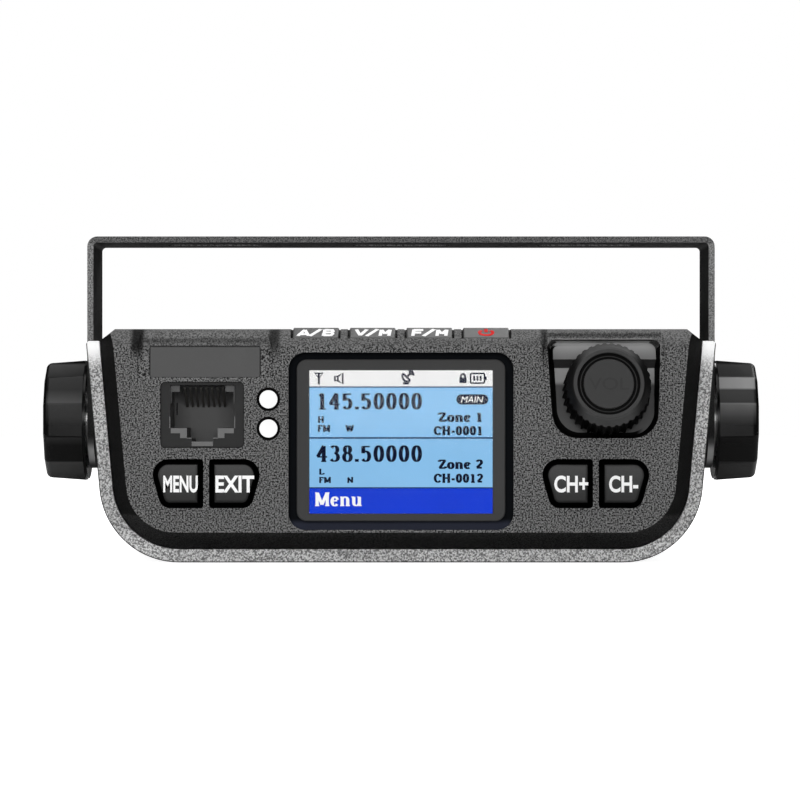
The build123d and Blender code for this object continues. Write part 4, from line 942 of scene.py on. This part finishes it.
def soft_box(name, place, target, width, height, power):
    """A rectangular studio light aimed at a point."""
    data = bpy.data.lights.new(name, "AREA")
    data.shape = "RECTANGLE"
    data.size = width
    data.size_y = height
    data.energy = power
    lamp = bpy.data.objects.new(name, data)
    bpy.context.scene.collection.objects.link(lamp)
    lamp.location = place
    lamp.rotation_euler = (Vector(target) - Vector(place)).to_track_quat("-Z", "Y").to_euler()


def studio():
    """White backdrop for the camera, a dim room for reflections, and soft boxes."""
    world = bpy.data.worlds.new("studio")
    bpy.context.scene.world = world
    world.use_nodes = True
    nodes, links = world.node_tree.nodes, world.node_tree.links
    nodes.clear()
    seen = nodes.new("ShaderNodeLightPath").outputs["Is Camera Ray"]
    mixer = nodes.new("ShaderNodeMixShader")
    links.new(seen, mixer.inputs[0])
    for i, level in ((1, 56), (2, 255)):
        air = nodes.new("ShaderNodeBackground")
        air.inputs[0].default_value = paint(level)
        links.new(air.outputs[0], mixer.inputs[i])
    links.new(mixer.outputs[0], nodes.new("ShaderNodeOutputWorld").inputs[0])
    middle = (cad_box[0] + cad_box[1]) / 2
    soft_box("overhead", (0.0, -0.15, 0.8), middle, 0.9, 0.6, 5.4)
    soft_box("front_left", (-0.45, -1.0, 0.55), middle, 0.5, 0.5, 1.6)
    soft_box("front_low", (0.0, -1.2, 0.2), middle, 0.7, 0.36, 5.9)
    soft_box("rear", (0.3, 1.0, 0.7), middle, 0.7, 0.4, 4)


def stand_camera():
    """Level camera in front of the radio, at the height of its dial."""
    data = bpy.data.cameras.new("camera")
    data.sensor_width = 36.0
    data.lens = 166.3
    # The lens is shifted, in picture widths, so that the camera can stay level.
    data.shift_x = -0.00125
    data.shift_y = 0.03375
    data.clip_start = 0.05
    distance, eye_height = 0.739, 0.02566
    eye = bpy.data.objects.new("camera", data)
    bpy.context.scene.collection.objects.link(eye)
    eye.location = (0, -distance, eye_height)
    eye.rotation_euler = (math.radians(90), 0, 0)
    bpy.context.scene.camera = eye


# ---------------------------------------------------------------- small fitted parts
def lamp_rings():
    """Black rings in the gaps round both status lights, painted black as the shade in the gaps."""
    for body in ("upper_light_pipe", "lower_light_pipe"):
        low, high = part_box(body)
        shape = bmesh.new()
        ring(shape, 1.7 * MM, 2.2 * MM, -3.0 * MM, 0.05 * MM)
        centre = ((low.x + high.x) / 2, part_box("front_panel")[0].y, (low.z + high.z) / 2)
        piece(f"{body}_gap_ring", shape, plane_at(centre), "hole", RADIO)


def jack_pads():
    """Pale plates painted as the light on the front faces of the moulded corners, ledges and strips round the
    mouth of the microphone jack, and a black strip painted as the shade in a slit.
    """
    low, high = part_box("mic_jack")
    middle = (low.x + high.x) / 2
    pairs = {
        "jack_ledges": (0.0, "jack_pad", ((2.87, 24.5, 5.87, 25.44), (2.87, 23.6, 4.13, 24.5),
                                          (2.0, 23.5, 2.87, 23.66), (5.97, 25.44, 6.12, 27.6))),
        "jack_corners": (1.0, "jack_corner", ((4.27, 32.23, 5.98, 33.4), (5.78, 30.1, 5.98, 32.23))),
    }
    for name, (depth, finish, boxes) in pairs.items():
        shape = bmesh.new()
        for left, bottom, right, top in boxes:
            for hand in (1, -1):
                box_on(shape, hand * left, bottom, hand * right, top)
        if name == "jack_ledges":
            box_on(shape, -1.97, 22.1, 1.97, 22.94)
        plane = plane_at((middle, low.y + depth * MM, 0))
        piece(name, shape, plane, finish, RADIO)
    slit = bmesh.new()
    box_on(slit, -5.1, 27.9, -4.9, 30.2)
    piece("jack_slit", slit, plane_at((middle, low.y + 5 * MM, 0)), "hole", RADIO)


def cap_lettering():
    """The faint sunk word on the volume knob's cap."""
    facing = Vector((0, -math.cos(DIAL_TILT), math.sin(DIAL_TILT)))
    centre = Vector(DIAL_CENTRE) * MM + facing * CAP_AHEAD * MM
    plane = plane_at(centre, up=(0, math.sin(DIAL_TILT), math.cos(DIAL_TILT)))
    plain_text("cap_word", "VOL", (0, 0), (7.4, 2.3), plane, -0.02 * MM, "debossed", "volume_knob",
               0.01)


def antenna_thread():
    """The screw thread round the antenna socket's barrel."""
    low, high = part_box("antenna_insulator")
    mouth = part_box("antenna_socket")[1].y
    radius, ridge, pitch, turns, steps = 7.92 * MM, 0.34 * MM, 1.06 * MM, 11, 40
    root, root_half, crest_half = 0.2 * MM, 0.42 * MM, 0.1 * MM
    shape = bmesh.new()
    rows = []
    for i in range(turns * steps + 1):
        angle = 2 * math.pi * i / steps
        height = -1.0 * MM - pitch * i / steps
        grow = ridge * min(1.0, i / steps, (turns * steps - i) / steps) + 0.01 * MM
        profile = ((-root, root_half), (grow, crest_half), (grow, -crest_half), (-root, -root_half))
        rows.append([
            shape.verts.new(((radius + out) * math.cos(angle), (radius + out) * math.sin(angle), height + up))
            for out, up in profile
        ])
    for here, there in zip(rows, rows[1:]):
        for i in range(4):
            shape.faces.new((here[i - 1], here[i], there[i], there[i - 1]))
    shape.faces.new(reversed(rows[0]))
    shape.faces.new(rows[-1])
    centre = ((low.x + high.x) / 2, mouth, (low.z + high.z) / 2)
    piece("antenna_thread", shape, plane_at(centre, across=(-1, 0, 0)), "tin", RADIO)


dress_nodes()
antenna_thread()
lamp_rings()
jack_pads()
cap_lettering()
display_picture()
key_legends()
top_key_legends()
lay_floor()
studio()
stand_camera()
bpy.context.scene.view_settings.view_transform = "Standard"
